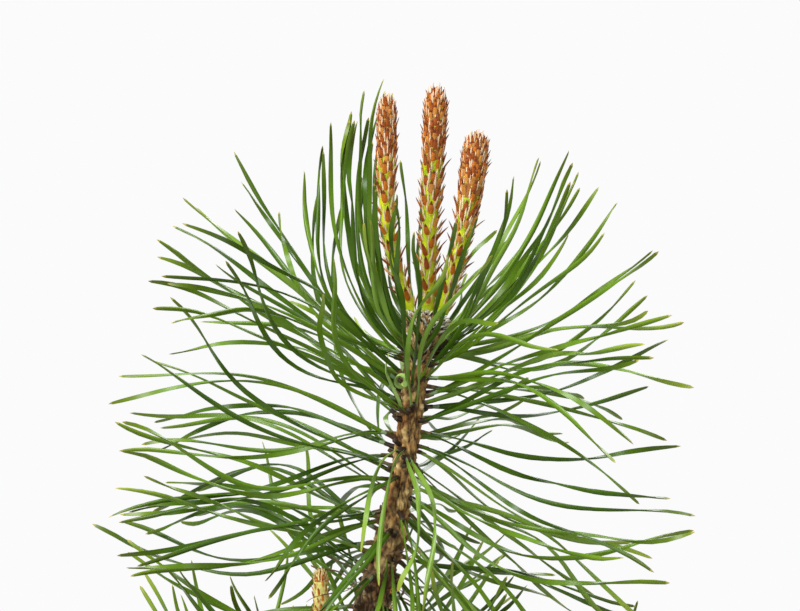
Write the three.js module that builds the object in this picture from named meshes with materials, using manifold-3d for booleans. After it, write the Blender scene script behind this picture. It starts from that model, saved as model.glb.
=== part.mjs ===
// A young mugo pine in a plain terracotta pot, about 300 mm tall.
// Lengths are millimetres, +Z is up, and the origin is the middle of the pot's flat underside.
// -Y is the front. Directions round the plant are degrees from +X, turning through +Y.

import * as THREE from "three";
import { mergeVertices } from "three/addons/utils/BufferGeometryUtils.js";
import Module from "manifold-3d";

const wasm = await Module();
wasm.setup();
const { Manifold, Mesh } = wasm;

// Driving dimensions of the pot and its soil
const CLEAR = 0.3;
const POT_HEIGHT = 105;
const POT_BASE_RADIUS = 44;
const POT_RIM_RADIUS = 62;
const RIM_BAND_HEIGHT = 18;
const RIM_BAND_PROUD = 3;
const POT_WALL = 5;
const POT_FLOOR = 7;
const POT_EDGE = 1.2;
const POT_SIDES = 36;
const SOIL_TOP = 93;
const SOIL_CROWN = 1.5;

// The trunk's middle line, from its flat foot on the soil to the knob that carries the top buds
const TRUNK_FOOT = SOIL_TOP + SOIL_CROWN + CLEAR;
const TRUNK_LINE = [
  [0, 0, TRUNK_FOOT],
  [-1, 1, 125],
  [0.8, 1, 155],
  [6, 0.3, 184],
  [11.2, -0.6, 203],
  [14.2, -0.5, 221],
  [16.6, 0, 239],
  [19, 0.2, 250],
];
// Height and radius: root flare, long taper, the bulge of an old whorl, and the knob at the top
const TRUNK_GIRTH = [
  [TRUNK_FOOT, 8.5],
  [101, 6.2],
  [112, 5.2],
  [140, 4.5],
  [170, 3.9],
  [187, 3.5],
  [194, 2.9],
  [202, 3.2],
  [208, 2.4],
  [232, 2.25],
  [241, 2.6],
  [246, 3.9],
  [249, 4.4],
  [250, 4.0],
];
const TRUNK_SIDES = 10;
const TRUNK_RING_STEP = 12;

// Needles stand in pairs; each is a three-sided spike in a few straight lengths
const SEED = 366;
const NEEDLE_RADIUS = 0.75;
const NEEDLE_STEPS = 12;
const NEEDLE_LENGTHS = 3;
const NEEDLE_TAPER = [0.6, 1, 0.85, 0];
const NEEDLE_APART = 0.1;
const ROOT_SHARE = 0.2;
const PAIR_TRIES = 14;
const PAIR_SPLIT = 0.07;
const PAIR_ROOTS_APART = 0.5;
const PAIR_TURN = 75;
// What a draw may add, as a share of the needle's own length or direction
const STRAY = { length: 0.16, longer: 0.02, split: 0.05, rise: 0.75, sway: 0.7, swing: 0.36, partner: 0.2 };
// How far a root may stray from its even place, as a share of the step or turn between two
const STEP_STRAY = 0.4;
const TURN_STRAY = 0.2;
const TURN_SHARE = 0.93;
const SPACE_HALF_ANGLE = 75;
const STEEP_RUN = 12;
const GOLDEN_SHARE = 0.618034;
const GOLDEN_ANGLE = 137.5;

// Every mass on the trunk has a thin core, a strip of bark that its needles are rooted in
const CORE_THICKNESS = 1.2;
const ROOT_DEPTH = 0.45;
const SECTOR_REACH = 20;
const SECTOR_GAP = 0.18;
const ROOT_MARGIN = 16;
const TIERS = {
  crown: { low: 238.4, high: 246, sides: { right: 0, back: 90, left: 180, front: 270 } },
  upper: { low: 226.2, high: 238, sides: { right: 0, back: 90, left: 180, front: 270 } },
  middle: { low: 209.2, high: 225.8, sides: { right: 0, back: 90, left: 180, front: 270 } },
  lower: { low: 190.2, high: 208.8, sides: { right: 0, back: 90, left: 180, front: 270 } },
  foot: { low: 171, high: 189.8, sides: { right: 0, left: 180 } },
};
// launch is the angle from the trunk, in degrees, and scatter what it strays by. rise bends a needle
// up the trunk and close bends it back towards the trunk, both as shares of its own direction.
const TRUNK_SPRAYS = {
  crown_right: { launch: 60, scatter: 24, rise: 0.8, close: 0.4, length: 57, pairs: 7 },
  crown_back: { launch: 56, scatter: 16, rise: 0.7, close: 0.3, length: 48, pairs: 4 },
  crown_left: { launch: 76, scatter: 20, rise: 1.7, close: 0.8, length: 60, pairs: 7 },
  crown_front: { launch: 60, scatter: 14, rise: 0.8, close: 0.3, length: 44, pairs: 3 },
  upper_right: { launch: 80, scatter: 26, rise: 0.1, close: 0, length: 67, pairs: 6 },
  upper_back: { launch: 75, scatter: 16, rise: 0.1, close: 0, length: 58, pairs: 5 },
  upper_left: { launch: 64, scatter: 15, rise: -0.15, close: -0.1, length: 70, pairs: 9 },
  upper_front: { launch: 76, scatter: 18, rise: 0.2, close: 0, length: 52, pairs: 4 },
  middle_right: { launch: 106, scatter: 16, rise: 0, close: 0, length: 66, pairs: 7 },
  middle_back: { launch: 95, scatter: 18, rise: -0.1, close: 0, length: 58, pairs: 6 },
  middle_left: { launch: 86, scatter: 16, rise: -0.1, close: 0, length: 70, pairs: 8 },
  middle_front: { launch: 112, scatter: 18, rise: -0.3, close: 0, length: 52, pairs: 3 },
  lower_right: { launch: 119, scatter: 18, rise: -0.05, close: 0, length: 69, pairs: 8 },
  lower_back: { launch: 105, scatter: 20, rise: -0.2, close: 0, length: 58, pairs: 6 },
  lower_left: { launch: 96, scatter: 18, rise: -0.2, close: 0, length: 69, pairs: 9 },
  lower_front: { launch: 118, scatter: 18, rise: -0.3, close: 0, length: 54, pairs: 4 },
  foot_right: { launch: 108, scatter: 18, rise: -0.1, close: 0, length: 58, pairs: 6 },
  foot_left: { launch: 98, scatter: 20, rise: -0.1, close: 0, length: 58, pairs: 6 },
};

// Boughs of the two whorls below. reach is how far out the tip is, and climb how far above its root.
// girth is the radius at the root and tip, and bare the share of the bough below its needles.
const BOUGHS = {
  low_right: { height: 122, azimuth: 20, reach: 70, climb: 21, girth: [2.6, 1.5], bare: 0.34, pairs: 15 },
  low_back: { height: 126, azimuth: 112, reach: 66, climb: 24, girth: [2.5, 1.5], bare: 0.34, pairs: 15 },
  low_left: { height: 120, azimuth: 204, reach: 72, climb: 21, girth: [2.6, 1.5], bare: 0.34, pairs: 15 },
  low_front: { height: 124, azimuth: 292, reach: 64, climb: 22, girth: [2.5, 1.5], bare: 0.34, pairs: 15 },
  high_right: { height: 151, azimuth: 334, reach: 40, climb: 17, girth: [2.1, 1.4], bare: 0.4, pairs: 13 },
  high_back: { height: 154, azimuth: 78, reach: 36, climb: 20, girth: [2.1, 1.4], bare: 0.42, pairs: 13 },
  high_left: { height: 149, azimuth: 248, reach: 10, climb: 27, girth: [1.9, 1.4], bare: 0.62, pairs: 10 },
};
// How strongly a bough levels out and then climbs towards its tip
const BOUGH_LEVEL = 0.35;
const BOUGH_SWEEP = 0.55;
const BOUGH_SIDES = 7;
const BOUGH_RINGS = 4;
const STEM_SIDES = 5;
const NEEDLES_IN = 0.06;
const NEEDLES_OUT = 0.98;
const BOUGH_NEEDLE = 50;
const BOUGH_LAUNCH_LOW = 74;
const BOUGH_LAUNCH_HIGH = 40;
const BOUGH_SCATTER = 14;
const BOUGH_RISE = 0.15;
const BOUGH_LIFT = 0.35;
const POT_HEADROOM = 2;

// The three candles on the knob: middle lines from their feet up, and the one size of all the others
const TOP_CANDLES = {
  left: [[15.6, 0.6, 250.3], [11.6, 1.1, 261.5], [9.9, 1.1, 274], [9.9, 0.5, 299]],
  centre: [[18.9, 0.1, 250.3], [19.1, 0, 262], [19.5, 0, 275], [20.9, 0, 301]],
  right: [[22.1, -0.8, 250.3], [25, -1.2, 261.5], [27.5, -1, 273], [29.9, -0.5, 290.6]],
};
const TOP_CANDLE_SIDES = 7;
const BOUGH_CANDLE_SIDES = 5;
const CANDLE_RINGS = [0, 0.2, 0.4, 0.6, 0.8, 0.95, 1];
const TOP_CANDLE_RADIUS = 2.25;
const TOP_CANDLE_FOOT = 1.35;
const BOUGH_CANDLE_LENGTH = 19;
const BOUGH_CANDLE_RADIUS = 1.7;
const BOUGH_CANDLE_ROOM = BOUGH_CANDLE_RADIUS + 0.6;
const SCALE_LENGTH = 2.6;
const SCALE_RADIUS = 0.75;
const SCALE_LEAN = 22;
const SCALES_FROM = 0.3;
const SCALES_TO = 0.98;
const SCALE_SUNK = 0.7;
const TOP_CANDLE_SCALES = 12;
// Where along a candle its bare foot ends, its full girth starts and its blunt tip starts
const CANDLE_GIRTHS = { foot: 0.35, full: 0.6, tip: 0.95, blunt: 0.6 };
// The foot and full radius of a top candle with its scales, which the needles keep out of
const CANDLE_ROOM = [1.6, 2.8];

const UP = new THREE.Vector3(0, 0, 1);
const EAST = new THREE.Vector3(1, 0, 0);
const radians = THREE.MathUtils.degToRad;
const vector = ([x, y, z]) => new THREE.Vector3(x, y, z);

const bark = new THREE.MeshStandardMaterial({ color: 0x8a6a4c, roughness: 0.9, metalness: 0 });
const needleGreen = new THREE.MeshStandardMaterial({ color: 0x4f7a2c, roughness: 0.45, metalness: 0 });
const candleBrown = new THREE.MeshStandardMaterial({ color: 0xb5683c, roughness: 0.6, metalness: 0 });
const terracotta = new THREE.MeshStandardMaterial({ color: 0xb5694a, roughness: 0.85, metalness: 0 });
const pottingSoil = new THREE.MeshStandardMaterial({ color: 0x3d2c20, roughness: 1, metalness: 0 });

// Solids and the meshes made from them

function solidOf(geometry) {
  const bare = geometry.clone();
  bare.deleteAttribute("normal");
  bare.deleteAttribute("uv");
  const merged = mergeVertices(bare);
  const vertProperties = new Float32Array(merged.getAttribute("position").array);
  const triVerts = new Uint32Array(merged.getIndex().array);
  return new Manifold(new Mesh({ numProp: 3, vertProperties, triVerts }));
}

function pieceOf(name, solid, material) {
  const { vertProperties, triVerts } = solid.getMesh();
  const geometry = new THREE.BufferGeometry();
  geometry.setAttribute("position", new THREE.BufferAttribute(new Float32Array(vertProperties), 3));
  geometry.setIndex(new THREE.BufferAttribute(new Uint32Array(triVerts), 1));
  geometry.computeVertexNormals();
  const piece = new THREE.Mesh(geometry, material);
  piece.name = name;
  return piece;
}

// The largest closed body: sealed hollows and loose scraps are dropped
function wholeOf(solid) {
  const bodies = solid.decompose();
  bodies.sort((a, b) => b.volume() - a.volume());
  return bodies[0];
}

// A closed tube through the points, with its own radius at each; a last radius of 0 makes a point
function tube(points, radii, sides, reference, { flatFoot = false, flatTop = false } = {}) {
  const last = points.length - 1;
  const topRadius = radii[last] === 0 ? 0 : 1;
  const geometry = new THREE.CylinderGeometry(topRadius, 1, 1, sides, last);
  const frames = points.map((point, i) => {
    const along = new THREE.Vector3().subVectors(points[Math.min(i + 1, last)], points[Math.max(i - 1, 0)]);
    along.normalize();
    if ((flatFoot && i === 0) || (flatTop && i === last)) along.copy(UP);
    const out = reference.clone().addScaledVector(along, -reference.dot(along)).normalize();
    return { out, side: new THREE.Vector3().crossVectors(out, along) };
  });
  const position = geometry.getAttribute("position");
  for (let i = 0; i < position.count; i++) {
    const ring = Math.round((position.getY(i) + 0.5) * last);
    const across = Math.hypot(position.getX(i), position.getZ(i));
    const swell = across > 1e-6 ? radii[ring] / across : 0;
    const place = points[ring].clone();
    place.addScaledVector(frames[ring].out, position.getX(i) * swell);
    place.addScaledVector(frames[ring].side, position.getZ(i) * swell);
    position.setXYZ(i, place.x, place.y, place.z);
  }
  return solidOf(geometry);
}

// A direction square to the limb, turned round it from +X
function around(along, turn) {
  const first = EAST.clone().addScaledVector(along, -EAST.dot(along)).normalize();
  const second = new THREE.Vector3().crossVectors(along, first);
  return first.multiplyScalar(Math.cos(turn)).addScaledVector(second, Math.sin(turn));
}

// The trunk

const trunkCurve = new THREE.CatmullRomCurve3(TRUNK_LINE.map(vector), false, "catmullrom", 0.5);
const trunkTop = TRUNK_LINE.at(-1)[2];

function trunkShare(height) {
  let low = 0;
  let high = 1;
  for (let i = 0; i < 40; i++) {
    const middle = (low + high) / 2;
    if (trunkCurve.getPoint(middle).z < height) low = middle;
    else high = middle;
  }
  return (low + high) / 2;
}

function trunkRadius(height) {
  const above = TRUNK_GIRTH.findIndex(([level]) => level >= height);
  if (above <= 0) return above === 0 ? TRUNK_GIRTH[0][1] : TRUNK_GIRTH.at(-1)[1];
  const [lowLevel, lowRadius] = TRUNK_GIRTH[above - 1];
  const [highLevel, highRadius] = TRUNK_GIRTH[above];
  return THREE.MathUtils.mapLinear(height, lowLevel, highLevel, lowRadius, highRadius);
}

function trunkLevels(low, high) {
  const steps = Math.ceil((high - low) / TRUNK_RING_STEP);
  const even = Array.from({ length: steps + 1 }, (_, i) => low + ((high - low) * i) / steps);
  const marks = TRUNK_GIRTH.map(([level]) => level).filter((level) => level > low && level < high);
  const near = (level) => level > low && level < high && marks.some((mark) => Math.abs(mark - level) < 3);
  return [...even.filter((level) => !near(level)), ...marks].sort((a, b) => a - b);
}

function trunkTube(low, high, grown, ends) {
  const levels = trunkLevels(low, high);
  const points = levels.map((level) => trunkCurve.getPoint(trunkShare(level)));
  const radii = levels.map((level) => trunkRadius(level) + grown);
  return tube(points, radii, TRUNK_SIDES, EAST, ends);
}

// The trunk with its clearance, which everything beside it is cut back to
const trunkRoom = trunkTube(TRUNK_FOOT, trunkTop, CLEAR);
const coreRoom = trunkTube(TIERS.foot.low, TIERS.crown.high, CLEAR * 2 + CORE_THICKNESS);

// A curve and radius for each bough, from the middle of the trunk to the foot of its candle

function boughPoint({ height, azimuth, reach, climb }, share) {
  const root = trunkCurve.getPoint(trunkShare(height));
  const out = reach * share * (1 + BOUGH_LEVEL * (1 - share));
  const up = climb * share * (1 - BOUGH_SWEEP * (1 - share));
  const turn = radians(azimuth);
  return root.add(new THREE.Vector3(Math.cos(turn) * out, Math.sin(turn) * out, up));
}

function boughLimb(bough) {
  const stations = [0, 0.25, 0.5, 0.75, 1].map((share) => boughPoint(bough, share));
  const curve = new THREE.CatmullRomCurve3(stations, false, "catmullrom", 0.5);
  const radiusAt = (share) => THREE.MathUtils.lerp(...bough.girth, share);
  return { curve, radiusAt };
}

// A reference direction that is level and square to the bough, so its tube doesn't twist
function levelReference(azimuth) {
  const turn = radians(azimuth + 90);
  return new THREE.Vector3(Math.cos(turn), Math.sin(turn), 0);
}

function limbTube(limb, from, to, rings, sides, reference) {
  const shares = Array.from({ length: rings + 1 }, (_, i) => from + ((to - from) * i) / rings);
  const points = shares.map((share) => limb.curve.getPoint(share));
  return tube(points, shares.map(limb.radiusAt), sides, reference);
}

// The share of the limb's curve that a clearance takes
const gapShare = (limb) => CLEAR / limb.curve.getLength();

// Candles: a soft shoot that swells above its bare foot, with scales standing off it

function candleLine(points) {
  return new THREE.CatmullRomCurve3(points, false, "catmullrom", 0.5);
}

function boughCandlePoints(limb) {
  const foot = limb.curve.getPoint(1);
  const along = limb.curve.getTangent(1);
  foot.addScaledVector(along, CLEAR);
  const middle = foot.clone().addScaledVector(along, BOUGH_CANDLE_LENGTH * 0.5);
  const lifted = along.clone().lerp(UP, 0.6).normalize();
  const top = middle.clone().addScaledVector(lifted, BOUGH_CANDLE_LENGTH * 0.5);
  return [foot, middle, top];
}

function candleRadius(share, foot, full) {
  const { foot: bare, full: swollen, tip, blunt } = CANDLE_GIRTHS;
  if (share < bare) return foot;
  if (share < swollen) return THREE.MathUtils.mapLinear(share, bare, swollen, foot, full);
  if (share < tip) return full;
  return THREE.MathUtils.mapLinear(share, tip, 1, full, full * blunt);
}

function candleSolid(points, foot, full, sides, { scales = 0, flatFoot = false } = {}) {
  const curve = candleLine(points);
  const line = CANDLE_RINGS.map((share) => curve.getPoint(share));
  const radii = CANDLE_RINGS.map((share) => candleRadius(share, foot, full));
  const parts = [tube(line, radii, sides, EAST, { flatFoot })];
  for (let i = 0; i < scales; i++) {
    const share = THREE.MathUtils.lerp(SCALES_FROM, SCALES_TO, (i + 0.5) / scales);
    const along = curve.getTangent(share);
    const out = around(along, radians(GOLDEN_ANGLE * i));
    const depth = candleRadius(share, foot, full) - SCALE_RADIUS * SCALE_SUNK;
    const root = curve.getPoint(share).addScaledVector(out, depth);
    const lean = radians(SCALE_LEAN);
    const aim = along.clone().multiplyScalar(Math.cos(lean)).addScaledVector(out, Math.sin(lean));
    const tip = root.clone().addScaledVector(aim, SCALE_LENGTH);
    parts.push(tube([root, tip], [SCALE_RADIUS, 0], 3, out));
  }
  return wholeOf(Manifold.union(parts));
}

// The needle rule. Repeatable draws from -1 to 1 place each pair, bend it and split it.

function drawsFrom(seed) {
  let state = seed >>> 0;
  return () => {
    state = (state + 0x6d2b79f5) >>> 0;
    let mixed = Math.imul(state ^ (state >>> 15), state | 1);
    mixed ^= mixed + Math.imul(mixed ^ (mixed >>> 7), mixed | 61);
    return (((mixed ^ (mixed >>> 14)) >>> 0) / 4294967296) * 2 - 1;
  };
}

function needlePath(root, frame, launch, bend, length) {
  const path = [root.clone()];
  const point = root.clone();
  for (let i = 0; i < NEEDLE_STEPS; i++) {
    const share = (i + 0.5) / NEEDLE_STEPS;
    const swing = Math.sin(2 * Math.PI * share);
    const heading = launch.clone();
    heading.addScaledVector(frame.along, bend.rise * share + bend.dip * swing);
    heading.addScaledVector(frame.out, -bend.close * share);
    heading.addScaledVector(frame.side, bend.sway * share + bend.wave * swing);
    heading.addScaledVector(UP, bend.lift * share);
    point.addScaledVector(heading.normalize(), length / NEEDLE_STEPS);
    path.push(point.clone());
  }
  return path;
}

// Two needles from one root: draws 3 to 11 give their length, bend, split and difference
function needlePair(frame, spray, draw) {
  const angle = radians(spray.launch + spray.scatter * draw[2]);
  const launch = frame.along.clone().multiplyScalar(Math.cos(angle)).addScaledVector(frame.out, Math.sin(angle));
  const length = spray.length * (1 - STRAY.length * Math.abs(draw[3]));
  const split = PAIR_SPLIT + STRAY.split * draw[8];
  const turn = radians(PAIR_TURN * draw[9]);
  const apart = frame.side.clone().multiplyScalar(Math.cos(turn));
  apart.addScaledVector(new THREE.Vector3().crossVectors(launch, frame.side), Math.sin(turn));
  return [-1, 1].map((sign) => {
    const aim = launch.clone().addScaledVector(apart, sign * split).normalize();
    const bend = {
      rise: spray.rise + STRAY.rise * draw[4] + sign * STRAY.partner * draw[10],
      close: spray.close,
      sway: STRAY.sway * draw[5] + sign * STRAY.partner * draw[11],
      wave: STRAY.swing * draw[6],
      dip: STRAY.swing * draw[7],
      lift: spray.lift ?? 0,
    };
    const root = frame.root.clone().addScaledVector(frame.side, sign * PAIR_ROOTS_APART);
    return needlePath(root, frame, aim, bend, length * (1 + sign * STRAY.longer));
  });
}

// Lengths of needle and limb that are already in place, each a line with a radius
const taken = [];

function lineGap(a, b, c, d) {
  const first = new THREE.Vector3().subVectors(b, a);
  const second = new THREE.Vector3().subVectors(d, c);
  const between = new THREE.Vector3().subVectors(a, c);
  const firstSquare = first.lengthSq();
  const secondSquare = second.lengthSq();
  const mixed = first.dot(second);
  const firstShift = first.dot(between);
  const secondShift = second.dot(between);
  const spread = firstSquare * secondSquare - mixed * mixed;
  let s = spread > 1e-9 ? (mixed * secondShift - firstShift * secondSquare) / spread : 0;
  s = Math.min(1, Math.max(0, s));
  let t = (mixed * s + secondShift) / secondSquare;
  if (t < 0) s = Math.min(1, Math.max(0, -firstShift / firstSquare));
  if (t > 1) s = Math.min(1, Math.max(0, (mixed - firstShift) / firstSquare));
  t = Math.min(1, Math.max(0, t));
  return between.addScaledVector(first, s).addScaledVector(second, -t).length();
}

const isKnot = (_, i) => i % (NEEDLE_STEPS / NEEDLE_LENGTHS) === 0;
const needleKnots = (path) => path.filter(isKnot).map((point) => point.clone());

function pairFits(pair, mass, inSpace) {
  return pair.every((path) => {
    if (!inSpace(path)) return false;
    const knots = needleKnots(path);
    const free = knots[0].clone().lerp(knots[1], ROOT_SHARE);
    const apart = knots[0].clone().lerp(knots[1], ROOT_SHARE * 2);
    for (let i = 0; i < NEEDLE_LENGTHS; i++) {
      const touches = (line) => {
        if (line.mass === mass && !line.needle) return false;
        const start = i > 0 ? knots[i] : line.mass === mass ? apart : free;
        return lineGap(start, knots[i + 1], line.from, line.to) < line.radius + NEEDLE_RADIUS;
      };
      if (taken.some(touches)) return false;
    }
    return true;
  });
}

// Grows a mass of needle pairs: a pair that would leave its space or touch is drawn again, then skipped
function needlePaths(mass, index, spray, frameFor, inSpace) {
  const next = drawsFrom(SEED * 100 + index);
  const paths = [];
  for (let i = 0; i < spray.pairs; i++) {
    for (let attempt = 0; attempt < PAIR_TRIES; attempt++) {
      const draw = Array.from({ length: 12 }, next);
      const frame = frameFor(i, draw);
      const pair = needlePair(frame, { ...spray, launch: frame.launch }, draw);
      if (!pairFits(pair, mass, inSpace)) continue;
      pair.forEach((path) => claimNeedle(mass, path));
      paths.push(...pair.map((path) => ({ path, side: frame.side })));
      break;
    }
  }
  return paths;
}

function claimNeedle(mass, path) {
  const knots = needleKnots(path);
  knots[0].lerp(knots[1], ROOT_SHARE);
  const radius = NEEDLE_RADIUS + NEEDLE_APART;
  for (let i = 0; i < NEEDLE_LENGTHS; i++) {
    taken.push({ from: knots[i], to: knots[i + 1], radius, mass, needle: true });
  }
}

function needleSolid({ path, side }) {
  const radii = NEEDLE_TAPER.map((share) => share * NEEDLE_RADIUS);
  return tube(needleKnots(path), radii, 3, side);
}

function claim(mass, curve, from, to, steps, radiusAt) {
  for (let i = 0; i < steps; i++) {
    const start = from + ((to - from) * i) / steps;
    const end = from + ((to - from) * (i + 1)) / steps;
    const radius = radiusAt((start + end) / 2) + CLEAR;
    taken.push({ from: curve.getPoint(start), to: curve.getPoint(end), radius, mass, needle: false });
  }
}

// A mass on the trunk: needles rooted in a strip of bark on one side of it

// The wedge of space round the trunk between two heights, kept a margin back from the wedges beside it
function sector(low, high, azimuth, halfAngle, margin) {
  const middle = trunkCurve.getPoint(trunkShare((low + high) / 2));
  const wedge = new THREE.Shape();
  wedge.moveTo(0, 0);
  for (const share of [-1, -0.5, 0, 0.5, 1]) {
    const turn = radians(azimuth + halfAngle * share);
    wedge.lineTo(Math.cos(turn) * SECTOR_REACH, Math.sin(turn) * SECTOR_REACH);
  }
  const block = new THREE.ExtrudeGeometry(wedge, { depth: high - low, bevelEnabled: false, steps: 1 });
  const setOut = margin / Math.sin(radians(halfAngle));
  const turn = radians(azimuth);
  block.translate(middle.x + Math.cos(turn) * setOut, middle.y + Math.sin(turn) * setOut, low);
  return solidOf(block);
}

function trunkMass(name, index, tier, azimuth, halfAngle) {
  const spray = TRUNK_SPRAYS[name];
  const turnSpread = halfAngle * TURN_SHARE;
  const rootSpread = halfAngle - ROOT_MARGIN;
  const frameFor = (i, draw) => {
    const step = (i + 0.5 + STEP_STRAY * draw[0]) / spray.pairs;
    const height = THREE.MathUtils.lerp(tier.low + NEEDLE_RADIUS, tier.high - NEEDLE_RADIUS, step);
    const share = trunkShare(height);
    const along = trunkCurve.getTangent(share);
    const even = ((i * GOLDEN_SHARE) % 1) * 2 - 1;
    const stray = (1 - TURN_STRAY) * even + TURN_STRAY * draw[1];
    const out = around(along, radians(azimuth + turnSpread * stray));
    const rooted = around(along, radians(azimuth + rootSpread * stray));
    const side = new THREE.Vector3().crossVectors(along, out);
    const depth = trunkRadius(height) + CLEAR + CORE_THICKNESS * ROOT_DEPTH;
    const root = trunkCurve.getPoint(share).addScaledVector(rooted, depth);
    return { root, along, out, side, launch: spray.launch };
  };
  const facing = new THREE.Vector2(Math.cos(radians(azimuth)), Math.sin(radians(azimuth)));
  const narrow = Math.cos(radians(Math.max(SPACE_HALF_ANGLE, halfAngle)));
  const inSpace = (path) => {
    const run = new THREE.Vector2(path.at(-1).x - path[0].x, path.at(-1).y - path[0].y);
    return run.length() < STEEP_RUN || run.dot(facing) >= run.length() * narrow;
  };
  const needles = needlePaths(name, index, spray, frameFor, inSpace);
  const strip = trunkTube(tier.low, tier.high, CLEAR + CORE_THICKNESS);
  const core = strip.intersect(sector(tier.low, tier.high, azimuth, halfAngle, SECTOR_GAP));
  const fused = Manifold.union([core, ...needles.map(needleSolid)]);
  const own = sector(tier.low - 0.1, tier.high + 0.1, azimuth, halfAngle, SECTOR_GAP - 0.1);
  const others = coreRoom.subtract(own).add(trunkRoom);
  return pieceOf(`needles_${name}`, wholeOf(fused.subtract(others)), needleGreen);
}

// A mass on a bough: needles all round the stem that carries the bough on

function boughMass(name, index, bough, limb) {
  const spray = {
    scatter: BOUGH_SCATTER,
    rise: BOUGH_RISE,
    close: 0,
    lift: BOUGH_LIFT,
    length: BOUGH_NEEDLE,
    pairs: bough.pairs,
  };
  const frameFor = (i, draw) => {
    const step = (i + 0.5 + STEP_STRAY * draw[0]) / spray.pairs;
    const share = THREE.MathUtils.lerp(bough.bare, 1, THREE.MathUtils.lerp(NEEDLES_IN, NEEDLES_OUT, step));
    const along = limb.curve.getTangent(share);
    const out = around(along, radians(GOLDEN_ANGLE * i + 20 * draw[1]));
    const side = new THREE.Vector3().crossVectors(along, out);
    const root = limb.curve.getPoint(share).addScaledVector(out, limb.radiusAt(share) * 0.3);
    return { root, along, out, side, launch: THREE.MathUtils.lerp(BOUGH_LAUNCH_LOW, BOUGH_LAUNCH_HIGH, step) };
  };
  const inSpace = (path) => path.every((point) => point.z > POT_HEIGHT + POT_HEADROOM);
  const needles = needlePaths(name, index, spray, frameFor, inSpace);
  const start = bough.bare + gapShare(limb);
  const stem = limbTube(limb, start, 1, BOUGH_RINGS, STEM_SIDES, levelReference(bough.azimuth));
  const fused = wholeOf(Manifold.union([stem, ...needles.map(needleSolid)]));
  return pieceOf(`needles_${name}`, wholeOf(fused.subtract(trunkRoom)), needleGreen);
}

// The pot: a thrown shape with a straight taper and a proud band at the rim

function potPiece() {
  const bandFoot = POT_HEIGHT - RIM_BAND_HEIGHT;
  const wallTop = POT_RIM_RADIUS - RIM_BAND_PROUD;
  const innerTop = wallTop - POT_WALL + RIM_BAND_PROUD * 0.5;
  const innerFoot = POT_BASE_RADIUS - POT_WALL;
  const profile = [
    [0, 0],
    [POT_BASE_RADIUS - POT_EDGE, 0],
    [POT_BASE_RADIUS, POT_EDGE],
    [wallTop - POT_EDGE, bandFoot],
    [POT_RIM_RADIUS - POT_EDGE, bandFoot],
    [POT_RIM_RADIUS, bandFoot + POT_EDGE],
    [POT_RIM_RADIUS, POT_HEIGHT - POT_EDGE],
    [POT_RIM_RADIUS - POT_EDGE, POT_HEIGHT],
    [innerTop + POT_EDGE, POT_HEIGHT],
    [innerTop, POT_HEIGHT - POT_EDGE],
    [innerFoot, POT_FLOOR],
    [0, POT_FLOOR],
  ];
  return { solid: turned(profile), innerTop, innerFoot };
}

function turned(profile) {
  const lathe = new THREE.LatheGeometry(profile.map(([r, z]) => new THREE.Vector2(r, z)), POT_SIDES);
  lathe.rotateX(Math.PI / 2);
  return solidOf(lathe);
}

function soilSolid(innerTop, innerFoot) {
  const innerAt = (height) =>
    THREE.MathUtils.mapLinear(height, POT_FLOOR, POT_HEIGHT - POT_EDGE, innerFoot, innerTop);
  const foot = POT_FLOOR + CLEAR;
  const side = CLEAR * 1.3;
  return turned([
    [0, foot],
    [innerAt(foot) - side, foot],
    [innerAt(SOIL_TOP) - side, SOIL_TOP],
    [innerAt(SOIL_TOP) * 0.7, SOIL_TOP + SOIL_CROWN * 0.6],
    [15, SOIL_TOP + SOIL_CROWN],
    [0, SOIL_TOP + SOIL_CROWN],
  ]);
}

// Putting the plant together

const plant = new THREE.Group();
plant.name = "potted_mugo_pine";

const pot = potPiece();
plant.add(pieceOf("pot", pot.solid, terracotta));
plant.add(pieceOf("soil", soilSolid(pot.innerTop, pot.innerFoot), pottingSoil));
plant.add(pieceOf("trunk", trunkTube(TRUNK_FOOT, trunkTop, 0, { flatFoot: true, flatTop: true }), bark));
const crownShare = trunkShare(TIERS.crown.low);
const heightAt = (share) => trunkCurve.getPoint(share).z;
claim("trunk", trunkCurve, 0, crownShare, 36, (share) => trunkRadius(heightAt(share)) + CORE_THICKNESS);
claim("knob", trunkCurve, crownShare, 0.97, 4, (share) => trunkRadius(heightAt(share)));

for (const [name, line] of Object.entries(TOP_CANDLES)) {
  const points = line.map(vector);
  const cover = { scales: TOP_CANDLE_SCALES, flatFoot: true };
  const solid = candleSolid(points, TOP_CANDLE_FOOT, TOP_CANDLE_RADIUS, TOP_CANDLE_SIDES, cover);
  plant.add(pieceOf(`candle_${name}`, solid, candleBrown));
  claim(`candle_${name}`, candleLine(points), 0, 1, 8, (share) => candleRadius(share, ...CANDLE_ROOM));
}

const limbs = Object.entries(BOUGHS).map(([name, bough]) => ({ name, bough, limb: boughLimb(bough) }));

for (const { name, bough, limb } of limbs) {
  const limbSolid = limbTube(limb, 0, bough.bare, BOUGH_RINGS, BOUGH_SIDES, levelReference(bough.azimuth));
  plant.add(pieceOf(`bough_${name}`, wholeOf(limbSolid.subtract(trunkRoom)), bark));
  const points = boughCandlePoints(limb);
  const foot = bough.girth[1] * 0.8;
  const solid = candleSolid(points, foot, BOUGH_CANDLE_RADIUS, BOUGH_CANDLE_SIDES);
  plant.add(pieceOf(`candle_${name}`, solid, candleBrown));
  claim(`candle_${name}`, candleLine(points), 0, 1, 3, () => BOUGH_CANDLE_ROOM);
  claim(`bough_${name}`, limb.curve, 0, bough.bare, 3, limb.radiusAt);
  claim(name, limb.curve, bough.bare, 1, 4, limb.radiusAt);
}

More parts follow.
